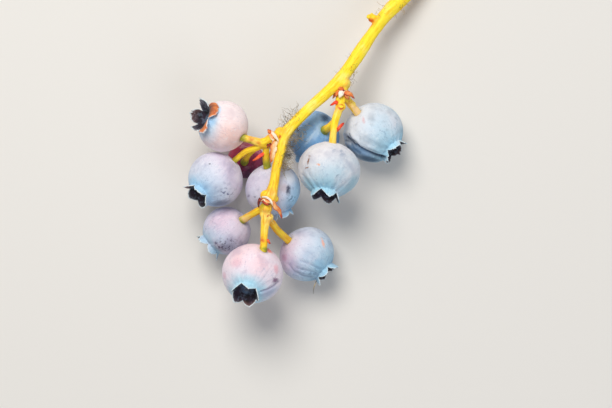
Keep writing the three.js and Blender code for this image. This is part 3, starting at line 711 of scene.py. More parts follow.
def calyxLayers(tree, place, finish):
    # waxy outside, purple-black in the cup, deepened there as painted shade, with a thin pale edge; old lobes
    # dry out
    cup = layColours(tree, place, finish["cup"], [
        (finish["cupPale"], 1.0, (0.7, 4, 0.35, 0.65)),
        (finish["cupDust"], 0.35, (0.45, 5, 0.5, 0.66)),
        (finish["lobeInside"], 0.4, None, ("lobe", 0.25, 1.0)),
        (finish["cupBloom"], 0.5, (0.8, 5, 0.36, 0.6), ("fromRim", -0.5, -1.5)),
        (finish["styleScar"], 0.6, (0.3, 4, 0.4, 0.6), ("fromRim", -1.9, -2.6)),
    ])
    paper = layColours(tree, place, finish["paper"], [
        (finish["paperGrey"], 0.7, (0.4, 6, 0.44, 0.62)),
        (finish["paperOrange"], 1.0, None, ("dryTone", 0.1, 0.7)),
        (finish["paperRust"], 0.6, (0.45, 5, 0.46, 0.62), ("dryTone", 0.3, 0.9)),
    ])
    return [
        (cup, 1.0, None, ("inside", 0.2, 0.9)),
        (paper, 1.0, None, ("dry", 0.0, 1.0)),
        (finish["edge"], 0.85, (0.6, 3, 0.3, 0.5), ("lobe", 0.8, 0.97)),
    ]


def bloomedSkin(name, berry, finish):
    # fresh berry skin under wax: dry and scattering, so dull, with a soft pale edge
    material, tree, place = startMaterial(f"fresh blueberry skin with wax bloom, {name}")
    centre = toMetres(centreOf(berry)).tolist()
    about = {"Vector": place, "Location": centre, "Scale": [berry["radius"] * mm] * 3}
    about = addNode(tree, "ShaderNodeMapping", about, vector_type="TEXTURE")
    rosySide, blueSide = (
        addNode(tree, "ShaderNodeVectorMath", {0: about, 1: unit(way).tolist()}, operation="DOT_PRODUCT")
        for way in (berry["rosyTo"], berry["blueTo"])
    )
    seed = berry["seed"]
    shifted = addNode(tree, "ShaderNodeMapping", {"Vector": place, "Location": [seed * mm, -seed * mm, 0]})
    meridian = addNode(tree, "ShaderNodeAttribute", attribute_name="meridian").outputs["Vector"]
    lines = {"Vector": meridian, "Scale": 1.9, "Detail": 3, "Distortion": 0.4}
    lines = addNode(tree, "ShaderNodeTexNoise", lines)
    toLine = addNode(tree, "ShaderNodeMath", {0: lines, 1: 0.5}, operation="SUBTRACT")
    toLine = addNode(tree, "ShaderNodeMath", {0: toLine}, operation="ABSOLUTE")
    bareAndCreaseShade = bareSkinAndCreaseShade(tree, shifted, 1 - berry["cover"], toLine)

    waxed = layColours(tree, shifted, berry["wax"], [
        (berry["rosy"], 1.0, (4.5, 3, 0.3, 0.68), (rosySide, -0.2, 0.95)),
        (berry["blue"], 1.0, (3.5, 4, 0.22, 0.6), (blueSide, berry["blueFrom"], 0.9)),
        (berry["crownWax"], 0.85, (2.0, 3, 0.2, 0.6), ("fromRim", berry["crownReach"], 0.2)),
        (berry["vein"], 0.45, (1.3, 3, 0.35, 0.62), (toLine, 0.028, 0.0), ("fromRim", 13.0, 1.0)),
    ])
    wearAndCreaseShade = {0: bareAndCreaseShade, 6: waxed, 7: linearColour(berry["skin"])}
    colour = layColours(tree, shifted, addNode(tree, "ShaderNodeMix", wearAndCreaseShade, data_type="RGBA"), [
        (finish["thickWax"], 0.3 * berry["cover"] ** 3, (0.5, 3, 0.56, 0.72)),
        *markLayers(tree, place, berry),
        *calyxLayers(tree, shifted, finish),
    ])
    grain = addNode(tree, "ShaderNodeTexNoise", {"Vector": shifted, "Scale": 2600, "Detail": 3})
    wrinkles = {"Vector": shifted, "Scale": 420, "Detail": 6, "Distortion": 0.35}
    wrinkles = addNode(tree, "ShaderNodeTexNoise", wrinkles)
    bumps = [(grain, 0.2, 0.05), (wrinkles, 0.65, 0.26), (lines, 0.7, 0.28)]
    return endMaterial(material, bumps, {
        "Base Color": colour,
        "Roughness": addNode(tree, "ShaderNodeMapRange", {"Value": bareAndCreaseShade, "To Min": 0.74, "To Max": 0.46}),
        "IOR": 1.42,
        "Specular IOR Level": 0.35,
        "Sheen Weight": 0.18,
        "Sheen Roughness": 0.5,
        "Sheen Tint": linearColour(finish["sheen"]),
    })


for name, berry in berries.items():
    piece = makeBerry(name, berry, berryShape)
    piece.data.materials.append(bloomedSkin(name, berry, skinFinish))
    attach(piece, "root")
    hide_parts(f"berry_{name}")
print("berries made:", len(berries))

# the twig: tubes along the stations, grown together, then given their bark

twigShape = dict(
    sides=24,
    step=0.35,  # mm between the rings of a tube
    voxel=0.16,  # mm, the mesh size in which the tubes grow together
    rounding=10,  # smoothing steps
    intoBerry=1.1,  # mm that a stalk's end reaches below its berry's skin
    ribs=5,  # round it, the low ones that run down from each bud
    ribHeight=0.045,
    ribEnd=3,  # mm short of a berry
    wartHeight=0.06,
    fibreHeight=0.03,
    fibreStretch=0.14,
    knobHeight=0.16,  # at the joints
    knobReach=2.6,
    budKnobHeight=0.3,
    budKnobReach=1.1,
    peachFrom=2.5,  # mm from a berry, where its stalk is fully peachy
    peachTo=6.0,
    scarWidth=0.25,  # of the ring scars
)


def pathTubes():
    # sweeps a round section along each chain of edges, as wide as its "radius" says
    tree, given = startNodes("tubes along paths", {"Sides": "Int", "Step": "Float", "Material": "Material"})
    sides, step = given.outputs["Sides"], given.outputs["Step"]
    chain = addNode(tree, "GeometryNodeMeshToCurve", {"Mesh": given})
    bent = addNode(tree, "GeometryNodeCurveSplineType", {"Curve": chain}, spline_type="CATMULL_ROM")
    even = addNode(tree, "GeometryNodeResampleCurve", {"Curve": bent, "Length": step}, mode="LENGTH")
    section = addNode(tree, "GeometryNodeCurvePrimitiveCircle", {"Resolution": sides, "Radius": 1.0})
    wide = addNode(tree, "GeometryNodeInputNamedAttribute", {"Name": "radius"}, data_type="FLOAT")
    swept = {"Curve": even, "Profile Curve": section, "Scale": wide, "Fill Caps": True}
    tube = addNode(tree, "GeometryNodeCurveToMesh", swept)
    return endNodes(tree, given, addNode(tree, "GeometryNodeSetShadeSmooth", {"Geometry": tube}))


def makePaths(name, paths):
    # a mesh of edges only, one chain for each path of (x, y, z, radius) stations
    edges, start = [], 0
    for path in paths:
        edges += [(start + i, start + i + 1) for i in range(len(path) - 1)]
        start += len(path)
    stations = np.vstack(paths)
    return makePiece(name, stations[:, :3], edges=edges, attributes={"radius": stations[:, 3] * mm})


tubeTree = pathTubes()
# the twig and each stalk: stations, how peachy, how green at the end and over how many mm
barkPaths = [(twigStations, 0, (0, 1))]
for name, (tipRadius, peach, green, stations) in stalks.items():
    seat = (*seatOf(berries[name], twigShape["intoBerry"]), tipRadius)
    barkPaths.append(([*stations, seat], peach, green))


def finePath(stations, step=0.25):
    # closely spaced points, with any further values, along a smooth curve through the stations
    stations = np.array(stations, float)
    padded = np.vstack([2 * stations[0] - stations[1], stations, 2 * stations[-1] - stations[-2]])
    found = []
    for a, b, c, d in zip(padded, padded[1:], padded[2:], padded[3:]):
        count = max(2, int(np.linalg.norm(c[:3] - b[:3]) / step))
        for t in np.arange(count) / count:
            bend = (2 * a - 5 * b + 4 * c - d) * t * t + (3 * b - a - 3 * c + d) * t**3
            found.append(0.5 * (2 * b + (c - a) * t + bend))
    found.append(stations[-1])
    return np.array(found)


def growTwig(shape):
    piece = makePaths("twig_bark", [stations for stations, _, _ in barkPaths])
    runNodes(piece, tubeTree, {"Sides": shape["sides"], "Step": shape["step"] * mm})
    balls = bmesh.new()
    balls.from_mesh(piece.data)
    for *middle, radius in swellings:
        place = Matrix.Translation(toMetres(middle).tolist())
        bmesh.ops.create_icosphere(balls, subdivisions=3, radius=radius * mm, matrix=place)
    balls.to_mesh(piece.data)
    balls.free()
    voxel = shape["voxel"] * mm
    modify(piece, "grow together", "REMESH", mode="VOXEL", voxel_size=voxel, use_smooth_shade=True)
    modify(piece, "soften the joints", "SMOOTH", factor=0.5, iterations=shape["rounding"])
    return settle(piece)


# rust-coloured scars and bands, and green patches at the joints: x, y, z, reach in mm and strength
rustSpots = [
    (-9.3, -1.5, 20.3, 0.5, 1.0), (-13.7, -27.2, 20.8, 0.9, 0.9), (13.5, 27.7, 8.9, 1.0, 1.0),
    (6.3, 10.6, 16.0, 0.8, 0.8), (-10.6, -1.6, 19.6, 1.2, 0.6), (-12.2, -17.6, 21.8, 1.0, 0.8),
    (-11.3, -22.6, 18.4, 0.9, 0.6), (-12.0, -20.5, 20.4, 0.7, 0.6), (-10.9, -22.9, 18.0, 0.6, 0.8),
    (-14.6, -3.0, 18.3, 0.8, 0.6), (-16.3, -2.0, 19.0, 1.2, 0.6), (8.2, 7.2, 14.0, 0.9, 0.6),
    (6.2, 6.0, 15.5, 0.3, 0.4),
]
greenSpots = [
    (-16.6, -3.2, 18.2, 1.0, 0.8), (-13.6, -18.6, 20.9, 1.1, 0.75), (-13.2, -4.3, 16.6, 1.4, 0.5),
    (-11.6, -24.9, 19.2, 0.7, 0.4),
]
# round scars where bracteoles fell: x, y, z and radius of the rust ring
ringScars = [(6.0, 6.0, 16.2, 0.62), (-11.9, -21.4, 21.0, 0.4)]


def describeBark(piece, shape):
    # attributes that say how far along and around the bark each point lies, and its bumps
    points, normals = readSurface(piece)
    fine = []
    for stations, peach, (green, reach) in barkPaths:
        path = finePath(stations)
        way = np.gradient(path[:, :3], axis=0)
        way /= np.linalg.norm(way, axis=1)[:, None]
        along = np.concatenate([[0], np.cumsum(np.linalg.norm(np.diff(path[:, :3], axis=0), axis=1))])
        toEnd = along[-1] - shape["intoBerry"] - along
        if stations is twigStations:
            toEnd = np.full(len(path), math.inf)  # it ends in no berry
        green = green * smoothStep(reach, 0, toEnd)
        peach = peach * smoothStep(shape["peachTo"], shape["peachFrom"], toEnd)
        fine.append(np.column_stack([path, way, along, toEnd, green, peach]))
    fine = np.vstack(fine)
    nearest = []
    for part in np.array_split(points, 1 + len(points) // 4000):
        gaps = np.linalg.norm(part[:, None] - fine[None, :, :3], axis=2) - fine[None, :, 3]
        nearest.append(np.argmin(gaps, axis=1))
    fine = fine[np.concatenate(nearest)]
    out, way = points - fine[:, :3], fine[:, 4:7]
    radius, along, toEnd, green, peach = fine[:, (3, 7, 8, 9, 10)].T
    side = np.cross(way, (0, 0, 1.0))
    side /= np.linalg.norm(side, axis=1)[:, None]
    over = np.cross(side, way)
    angle = np.arctan2((out * over).sum(1), (out * side).sum(1))
    grain = np.stack([np.cos(angle) * radius, np.sin(angle) * radius, along * shape["fibreStretch"]], 1)

    warts = np.clip(bumpiness(points, 1.1, 7), 0, 1) * shape["wartHeight"]
    ribs = np.cos(angle * shape["ribs"] + bumpiness(points, 0.2, 3) * 3)
    ribs *= shape["ribHeight"] * (toEnd > shape["ribEnd"])
    fibres = bumpiness(grain, 2.6, 15) * shape["fibreHeight"]
    joints = np.array([swelling[:3] for swelling in swellings])
    toJoint = np.min(np.linalg.norm(points[:, None] - joints[None], axis=2), axis=1)
    knobs = bumpiness(points, 0.9, 21) * shape["knobHeight"] * bell(toJoint, shape["knobReach"])
    toBud = np.linalg.norm(points - sideBud, axis=1)
    knobs += bumpiness(points, 1.9, 27) * shape["budKnobHeight"] * bell(toBud, shape["budKnobReach"])
    points += normals * (warts + ribs + fibres + knobs)[:, None]
    points[:, 2] = np.maximum(points[:, 2], 0)

    rust = nearSpots(points, rustSpots)
    torn = bumpiness(points, 1.4, 31)
    for *middle, reach in ringScars:
        gap = np.linalg.norm(points - middle, axis=1)
        ring = bell(gap - reach + 0.2 * torn, shape["scarWidth"])
        rust = np.maximum(rust, ring * (0.75 + 0.5 * torn))
    cutEnd, second = np.array(twigStations[0][:3]), np.array(twigStations[1][:3])
    cutWay = unit(cutEnd - second)
    pastCut = (points - cutEnd) @ cutWay
    piece.data.vertices.foreach_set("co", toMetres(points).ravel())
    piece.data.update()
    setAttributes(piece.data, {
        "barkGrain": grain,
        "greenness": np.maximum(green, nearSpots(points, greenSpots)),
        "peach": peach,
        "toJoint": toJoint,
        "rust": rust,
        "atCut": smoothStep(-0.35, -0.1, pastCut),
        "fromPith": np.linalg.norm((points - cutEnd) - pastCut[:, None] * cutWay, axis=1),
        "golden": smoothStep(9, -14, points[:, 1]),
        # painted shade: how far each face turns away from the light above
        "shadeWhereTurnedAway": smoothStep(0.75, -0.1, normals[:, 2]),
    })


barkLook = dict(
    yellow="#FFE636",  # young bark
    deep="#F7CC20",
    side="#F0AE14",  # painted shade where it faces away from the light
    golden="#FFDC34",  # the lower joints and stalks are warmer
    goldenDeep="#F4B41C",
    cream="#FFEFA8",  # where its wax is rubbed
    peach="#FBD39A",
    green="#929A2C",
    rust="#D24A1C",
    orange="#F09A3A",
    speck="#8A5A20",
    wood="#EFE7BE",
    pith="#C9B983",
)


def youngBark(look):
    # living one-year bark, smooth and faintly waxy, so its gloss is soft and its yellow clear
    material, tree, place = startMaterial("young blueberry bark, living")
    grain = addNode(tree, "ShaderNodeAttribute", attribute_name="barkGrain").outputs["Vector"]
    fibres = addNode(tree, "ShaderNodeTexNoise", {"Vector": grain, "Scale": 2.4, "Detail": 6})
    warm = layColours(tree, place, look["goldenDeep"], [(look["golden"], 1.0, None, (fibres, 0.36, 0.58))])
    cut = layColours(tree, place, look["pith"], [  # pale wood round a tan pith, under a thin rim of bark
        (look["wood"], 1.0, None, ("fromPith", 0.25, 0.5)),
        (look["green"], 1.0, None, ("fromPith", 1.2, 1.4)),
    ])
    colour = layColours(tree, place, look["deep"], [
        (look["yellow"], 1.0, None, (fibres, 0.32, 0.54)),
        (warm, 1.0, (3.6, 3, 0.2, 0.5), ("golden", 0.0, 1.0)),
        # painted shade on the faces turned away from the light, in a deeper orange-yellow
        (look["side"], 0.75, None, ("shadeWhereTurnedAway", 0.0, 1.0)),
        (look["cream"], 0.45, (2.5, 5, 0.5, 0.68), (fibres, 0.35, 0.6)),
        (look["peach"], 1.0, (1.9, 3, 0.3, 0.55), ("peach", 0.0, 1.0), (fibres, 0.3, 0.5)),
        (look["orange"], 0.5, (1.2, 5, 0.5, 0.64), ("toJoint", 3.4, 1.2)),
        (look["green"], 1.0, (1.7, 3, 0.25, 0.5), ("greenness", 0.0, 1.0)),
        (look["rust"], 1.0, (0.33, 4, 0.34, 0.52), ("rust", 0.0, 1.0)),
        (look["speck"], 0.45, (0.19, 2, 0.68, 0.76)),
        (cut, 1.0, None, ("atCut", 0.0, 1.0)),
    ])
    pores = addNode(tree, "ShaderNodeTexVoronoi", {"Vector": place, "Scale": 1500})  # about 0.6 mm apart
    return endMaterial(material, [(fibres, 0.55, 0.09), (pores, 0.25, 0.06)], {
        "Base Color": colour,
        "Roughness": 0.52,
        "IOR": 1.45,
        "Specular IOR Level": 0.4,
        "Subsurface Weight": 0.12,
        "Subsurface Radius": (1.0, 0.7, 0.15),
        "Subsurface Scale": 0.6 * mm,
    })


twigBark = growTwig(twigShape)
describeBark(twigBark, twigShape)
twigBark.data.materials.clear()
twigBark.data.materials.append(youngBark(barkLook))
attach(twigBark, "root")
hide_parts("twig")
print("twig grown:", len(twigBark.data.polygons), "faces")

# the bud scales: papery blades round the foot of each branch, over a torn collar

scaleShape = dict(
    across=12,
    along=22,
    thickness=0.13,
    crumple=0.09,
    pointWidth=0.03,  # mm, half of it
    trough=0.45,  # how deep a blade is across, as a share of its half width
    collarRows=5,
    collarSides=64,
    collarFoot=-0.5,  # mm along the branch
    collarHeight=0.7,
    collarFlare=0.35,
)
# Each blade: half width, bluntness (how late it narrows), the way it faces, its tones and its spine
# from foot to point. Tones run from 0, bleached white, over tan and orange to 1, dark red: at the
# foot, at the point, and what the right side adds.
scaleRings = {
    "bud_scales_right": dict(
        middle=(6.35, 9.6, 14.3), along=(-0.08, -0.98, 0.12), radius=1.8, seed=5, tone=0.5,
        blades=[
            (0.42, 3, (0, 0.2, 1), (0.55, 0.72, 0.0),
             [(5.5, 10.9, 15.6), (6.1, 10.5, 16.3), (6.8, 10.0, 16.3)]),
            (0.7, 1.6, (-0.1, -0.1, 1), (0.0, 0.12, -0.05),
             [(6.4, 10.0, 16.1), (5.9, 9.2, 16.8), (5.5, 8.1, 16.6)]),
            (0.42, 3, (-0.7, 0, 0.7), (0.6, 0.5, 0.1),
             [(5.0, 9.9, 15.8), (4.8, 9.2, 16.0), (4.7, 8.5, 15.7)]),
            (0.55, 1.8, (0.3, 0.3, 1), (0.5, 0.42, 0.15),
             [(6.8, 9.7, 16.1), (7.7, 9.4, 16.4), (8.6, 9.0, 16.3), (9.3, 8.1, 15.7)]),
            (0.5, 3, (0.4, 0, 1), (0.42, 0.3, 0.2), [(7.0, 9.3, 15.9), (7.6, 8.6, 16.0), (8.0, 7.9, 15.4)]),
            (0.85, 2, (-1, 0, -0.2), (0.6, 0.45, 0.1),
             [(4.7, 9.6, 14.4), (4.2, 8.9, 13.8), (4.0, 8.2, 13.4)]),
        ],
    ),
    "bud_scales_left": dict(
        middle=(-10.9, -1.85, 18.1), along=(-0.9, -0.4, -0.2), radius=1.85, seed=9, tone=0.55,
        blades=[
            (0.5, 1.4, (-0.5, -0.2, 0.8), (0.0, 0.1, 0.12),
             [(-11.4, -0.5, 19.3), (-10.8, -1.0, 20.1), (-10.1, -1.9, 20.5), (-9.4, -3.2, 20.3)]),
            (0.5, 3, (0, 0.5, 0.8), (0.55, 0.45, 0.2),
             [(-11.3, -0.5, 19.3), (-11.8, -0.1, 19.6), (-12.3, 0.2, 19.3)]),
            (0.8, 2.6, (-0.2, 0, 1), (0.12, 0.1, 0.5),
             [(-10.3, -2.7, 20.2), (-10.8, -4.2, 20.6), (-11.1, -6.0, 20.4), (-11.5, -8.0, 19.6)]),
            (0.7, 2, (0, -1, 0.3), (0.7, 0.5, 0.1),
             [(-11.2, -3.2, 18.6), (-12.0, -3.8, 18.2), (-12.6, -4.3, 17.6)]),
        ],
    ),
    "bud_scales_tip": dict(
        middle=(-12.2, -17.7, 20.3), along=(-0.25, -0.97, 0.0), radius=1.85, seed=14, tone=0.62,
        blades=[
            (0.24, 3, (0, -0.4, 1), (0.12, 0.08, -0.1),
             [(-13.6, -16.5, 21.8), (-12.3, -16.7, 22.5), (-11.4, -17.5, 22.6), (-11.0, -18.7, 22.2)]),
            (0.3, 3, (0, -0.3, 1), (0.7, 0.62, 0.15),
             [(-13.5, -17.5, 21.8), (-12.6, -18.2, 22.2), (-11.7, -18.4, 22.2)]),
            (0.45, 2, (-0.7, 0, 0.7), (0.85, 1.0, 0.1),
             [(-14.0, -16.8, 21.2), (-14.6, -17.8, 21.0), (-14.5, -19.1, 20.5)]),
            (0.66, 1.5, (0.4, 0.2, 1), (0.52, 0.58, -0.12),
             [(-10.9, -17.6, 21.7), (-10.3, -18.9, 21.6), (-9.4, -19.8, 21.0), (-8.7, -21.8, 20.0)]),
            (0.7, 2, (1, 0, -0.3), (0.6, 0.5, 0.1),
             [(-10.6, -17.8, 19.4), (-10.2, -18.6, 18.9), (-10.2, -19.3, 18.5)]),
        ],
    ),
}


def bladeSheet(halfWidth, blunt, out, spine, shape, seed):
    # points row by row from foot to point, with their places across and along
    spine = finePath(spine, 0.05)
    picked = spine[np.linspace(0, len(spine) - 1, shape["along"] + 1).astype(int)]
    points, places = [], []
    for row, (middle, way) in enumerate(zip(picked, np.gradient(picked, axis=0))):
        v = row / shape["along"]
        side = unit(np.cross(unit(way), out))
        face = np.cross(side, unit(way))
        narrowing = (1 - v**blunt) ** 0.75 * (0.75 + 0.4 * math.sin(min(v * 2.2, 1) * 1.57))
        width = shape["pointWidth"] + halfWidth * narrowing
        for column in range(shape["across"] + 1):
            u = column / shape["across"] * 2 - 1
            coarse, fine = (noise.noise(Vector((v * waves, u, seed))) for waves in (6, 17))
            torn = 1 + 0.3 * coarse + 0.2 * fine
            folds = noise.noise(Vector((v * 3.2, u * 1.6, seed + 4)))
            height = shape["crumple"] * folds * 2 - shape["trough"] * width * (u * u - 0.3)
            points.append(middle + side * u * width * torn + face * height)
            places.append((u * 0.5 + 0.5, v))
    return points, places


def bladeTones(tones, places):
    # from the foot's tone to the point's, with the right side's added, browner along the edges
    foot, point, rightSide = tones
    across, along = np.array(places).T
    edge = 0.34 * smoothStep(0.7, 1.0, np.maximum(np.abs(across * 2 - 1), along))
    return foot + (point - foot) * along + rightSide * across + edge


def collarSheet(ring, shape):
    # what is left of the lowest scales, torn off short
    centre, axis = np.array(ring["middle"]), unit(ring["along"])
    first = unit(np.cross(axis, (0.3, 0.2, 1.0)))
    second = np.cross(axis, first)
    points, places, tones = [], [], []
    for row in range(shape["collarRows"] + 1):
        v = row / shape["collarRows"]
        for column in range(shape["collarSides"]):
            angle = column / shape["collarSides"] * math.tau
            torn = noise.noise(Vector((math.cos(angle) * 2.4, math.sin(angle) * 2.4, ring["seed"])))
            tall = shape["collarFoot"] + v * (shape["collarHeight"] + 0.7 * torn)
            radius = ring["radius"] - 0.1 + shape["collarFlare"] * v * v + 0.1 * torn
            way = math.cos(angle) * first + math.sin(angle) * second
            points.append(centre + axis * tall + radius * way)
            places.append((column / shape["collarSides"] * 6, v))
            tones.append(ring["tone"] - 0.3 * v + 0.5 * torn)
    return points, places, tones


def joinSheets(name, sheets, thickness):
    # one piece with walls from sheets: the points of each, their places and tones, how many stand in
    # a row and whether the row is a ring
    points, faces, places, tones = [], [], [], []
    for sheet, where, shades, columns, closed in sheets:
        faces += gridFaces(len(points), len(sheet) // columns, columns, closed)
        points += sheet
        places += where
        tones += list(shades)
    piece = makePiece(name, points, faces, attributes={"tone": tones})
    turnFacesOut(piece)
    modify(piece, "walls", "SOLIDIFY", thickness=thickness * mm, offset=0)
    return piece, places


def makeScales(name, ring, shape):
    sheets = []
    for number, (*form, tones, spine) in enumerate(ring["blades"]):
        sheet, places = bladeSheet(*form, spine, shape, ring["seed"] + number * 3.3)
        sheets.append((sheet, places, bladeTones(tones, places), shape["across"] + 1, False))
    sheets.append((*collarSheet(ring, shape), shape["collarSides"], True))
    piece, places = joinSheets(f"{name}_paper", sheets, shape["thickness"])
    layer = piece.data.uv_layers.new(name="scaleMap")
    for loop in piece.data.loops:
        layer.data[loop.index].uv = places[loop.vertex_index]
    return settle(piece)


paperTones = [  # sRGB from bleached to dark, each reached at its tone
    (0.0, "#FFFBEE"), (0.2, "#F8E6C4"), (0.4, "#EFB06C"),
    (0.6, "#E4742C"), (0.8, "#B8351A"), (1.0, "#571A14"),
]


def papery(tones):
    # dead bud scale, dry and fibrous like thin parchment: bleached at the edges, rust at the foot
    material, tree, place = startMaterial("dry papery bud scale")
    across = addNode(tree, "ShaderNodeUVMap", uv_map="scaleMap")
    stretched = addNode(tree, "ShaderNodeMapping", {"Vector": across, "Scale": [9, 1.2, 1]})
    fibres = addNode(tree, "ShaderNodeTexNoise", {"Vector": stretched, "Scale": 2.0, "Detail": 5})
    flecks = addNode(tree, "ShaderNodeTexNoise", {"Vector": place, "Scale": 1400, "Detail": 4})
    tone = addNode(tree, "ShaderNodeAttribute", attribute_name="tone").outputs["Fac"]
    for pattern, share in ((fibres, 0.55), (flecks, 0.4)):
        offset = addNode(tree, "ShaderNodeMath", {0: pattern, 1: 0.5}, operation="SUBTRACT")
        tone = addNode(tree, "ShaderNodeMath", {0: offset, 1: share, 2: tone}, operation="MULTIPLY_ADD")
    layers = [
        (colour, 1.0, None, (tone, before, after)) for (before, _), (after, colour) in zip(tones, tones[1:])
    ]
    colour = layColours(tree, place, tones[0][1], layers)
    finish = {"Base Color": colour, "Roughness": 0.62, "Sheen Weight": 0.15}
    return endMaterial(material, [(fibres, 0.7, 0.07)], finish)


paper = papery(paperTones)
for name, ring in scaleRings.items():
    piece = makeScales(name, ring, scaleShape)
    piece.data.materials.append(paper)
    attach(piece, "root")
    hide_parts(name)
print("bud scales made:", len(scaleRings), "rings")

# the bracteoles: small fleshy pointed bracts on the stalks

bractShape = dict(across=8, along=18, thickness=0.3, crumple=0.14, pointWidth=0.03, trough=0.45)
bractLook = dict(foot="#E98A3C", coral="#F03A20", orange="#F06A38", point="#8E2016")
# rows as for the blades above, without tones
bracteoles = [
    (0.4, 3, (0.4, -0.4, 1), [(4.6, -0.2, 17.2), (5.3, 0.4, 18.0), (5.9, 1.1, 18.2), (6.7, 2.0, 17.7)]),
    (0.4, 2.4, (0.1, 0.4, 1), [(5.7, 6.9, 15.5), (5.1, 7.2, 15.9), (4.2, 6.9, 15.8), (3.3, 6.4, 15.2)]),
    (0.38, 3, (-0.2, 0.4, 1),
     [(-12.9, -5.3, 16.6), (-13.8, -6.0, 17.1), (-14.9, -6.7, 17.0), (-16.1, -7.5, 16.4)]),
    (0.3, 2, (0.3, 0.3, 1), [(-12.9, -27.0, 20.2), (-12.2, -27.4, 20.5), (-11.6, -28.1, 20.1)]),
]


def makeBracts(bracts, shape):
    sheets = []
    for number, bract in enumerate(bracts):
        sheet, places = bladeSheet(*bract, shape, number * 5.1)
        sheets.append((sheet, places, [along for _, along in places], shape["across"] + 1, False))
    piece = joinSheets("bracteoles", sheets, shape["thickness"])[0]
    modify(piece, "rounded edges", "SUBSURF", levels=1, render_levels=1)
    return settle(piece)


def rosyBract(look):
    # living bracteole, fleshy and waxy: coral red with an orange foot and a dark dry point
    material, tree, place = startMaterial("fleshy red bracteole, living")
    colour = layColours(tree, place, look["foot"], [
        (look["coral"], 1.0, (0.7, 4, 0.3, 0.5), ("tone", 0.0, 0.3)),
        (look["orange"], 0.5, (0.3, 5, 0.5, 0.62)),
        (look["point"], 1.0, (0.4, 4, 0.35, 0.55), ("tone", 0.7, 1.0)),
    ])
    mottle = addNode(tree, "ShaderNodeTexNoise", {"Vector": place, "Scale": 1100, "Detail": 5})
    return endMaterial(material, [(mottle, 0.6, 0.06)], {"Base Color": colour, "Roughness": 0.5})


bracts = makeBracts(bracteoles, bractShape)
bracts.data.materials.append(rosyBract(bractLook))
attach(bracts, "root")
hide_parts("twig")
print("bracteoles made:", len(bracteoles))

# the fuzz: short hairs on the bark, thickest at the joints

fuzzShape = dict(
    density=7.0,  # hairs a square millimetre where the fuzz is full
    length=0.5,  # mm
    thickness=0.026,  # mm, about twice as thick as real hairs, so that they show
    tip=0.004,
    lean=0.9,  # radians a hair may lean
    sizes=(0.35, 1.15),  # of the length above, from the least to the most
    seed=8,
    bareShare=0.06,  # of the full density, away from the places below
)
# where the bark is fuzzy: x, y, z, reach in mm, share of the full density
fuzzPlaces = [
    (-6.4, 3.2, 18.0, 2.6, 1.0), (9.4, 12.2, 13.6, 2.4, 1.0), (18.5, 31.0, 7.5, 3.0, 0.7),
    (-7.6, -4.0, 19.0, 3.4, 0.9), (-8.5, -9.0, 19.5, 3.0, 0.7), (20.8, 27.5, 7.0, 4.0, 0.5),
    (-12.2, -16.0, 21.0, 2.0, 0.4), (5.4, 11.0, 15.5, 2.2, 0.4),
]


def growFuzz(shape):
    # scatters three-sided hairs where the surface's "fuzz" says
    sizes = dict.fromkeys(("Density", "Length", "Thickness", "Tip", "Lean"), "Float")
    tree, given = startNodes("fuzz on bark", {**sizes, "Seed": "Int", "Material": "Material"})
    density, length, thickness, tip, lean, seed = (given.outputs[label] for label in (*sizes, "Seed"))
    full = addNode(tree, "GeometryNodeInputNamedAttribute", {"Name": "fuzz"}, data_type="FLOAT")
    dense = addNode(tree, "ShaderNodeMath", {0: full, 1: density}, operation="MULTIPLY")
    scattered = {"Mesh": given, "Density": dense, "Seed": seed}
    spots = addNode(tree, "GeometryNodeDistributePointsOnFaces", scattered)
    cone = {"Vertices": 3, "Side Segments": 2, "Radius Top": tip, "Radius Bottom": thickness, "Depth": length}
    hair = addNode(tree, "GeometryNodeMeshCone", cone)
    least, most = (
        addNode(tree, "ShaderNodeVectorMath", {0: [way, way, 3 * way], "Scale": lean}, operation="SCALE")
        for way in (-1, 1)
    )
    leaning = {0: least, 1: most, "Seed": seed}
    leaning = addNode(tree, "FunctionNodeRandomValue", leaning, data_type="FLOAT_VECTOR")
    leaning = addNode(tree, "FunctionNodeEulerToRotation", {"Euler": leaning})
    turned = {"Rotation": spots.outputs["Rotation"], "Rotate By": leaning}
    turned = addNode(tree, "FunctionNodeRotateRotation", turned, rotation_space="LOCAL")
    span = dict(zip((2, 3), shape["sizes"]))
    size = addNode(tree, "FunctionNodeRandomValue", span, data_type="FLOAT")
    planted = {"Points": spots, "Instance": hair, "Rotation": turned, "Scale": size}
    return endNodes(tree, given, addNode(tree, "GeometryNodeInstanceOnPoints", planted))


def plantHair(name, pale, dark):
    # dry plant hair: thin walled and slightly silky, so it glints along its length
    material, tree, place = startMaterial(name)
    colour = layColours(tree, place, pale, [(dark, 1.0, (1.0, 2, 0.35, 0.65))])
    return endMaterial(material, [], {"Base Color": colour, "Roughness": 0.6, "Sheen Weight": 0.2})


fuzz = bpy.data.objects.new("twig_fuzz", twigBark.data.copy())
bpy.context.collection.objects.link(fuzz)
barkPoints = readSurface(twigBark)[0]
fuzzy = np.maximum(fuzzShape["bareShare"], nearSpots(barkPoints, fuzzPlaces))
fuzzy *= smoothStep(0.5, 1.4, barkPoints[:, 2])  # none where the cut end lies on the floor
setAttributes(fuzz.data, {"fuzz": fuzzy})
fuzz.data.materials.clear()
runNodes(fuzz, growFuzz(fuzzShape), {
    "Density": fuzzShape["density"] / mm**2,
    "Length": fuzzShape["length"] * mm,
    "Thickness": fuzzShape["thickness"] * mm,
    "Tip": fuzzShape["tip"] * mm,
    "Lean": fuzzShape["lean"],
    "Seed": fuzzShape["seed"],
    "Material": plantHair("pale living bark hair", "#F2E2A4", "#C9A650"),
})
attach(fuzz, "root")
print("fuzz grown:", len(fuzz.data.polygons), "faces")

# the threads: fine dry fibres that spring from the bark and catch between the stalks

threadShape = dict(
    sides=3,
    step=0.22,
    radius=0.038,
    rooted=0.1,  # mm deep in the bark
    stride=0.45,  # mm between stations
    spread=0.4,  # how far the first ways differ
    turning=0.6,  # how much the way changes at each station
    drifting=(0.6, 0.12),  # how much the drift pulls at the root and at each station
    clearance=0.3,  # mm over the floor
    seed=4,
)
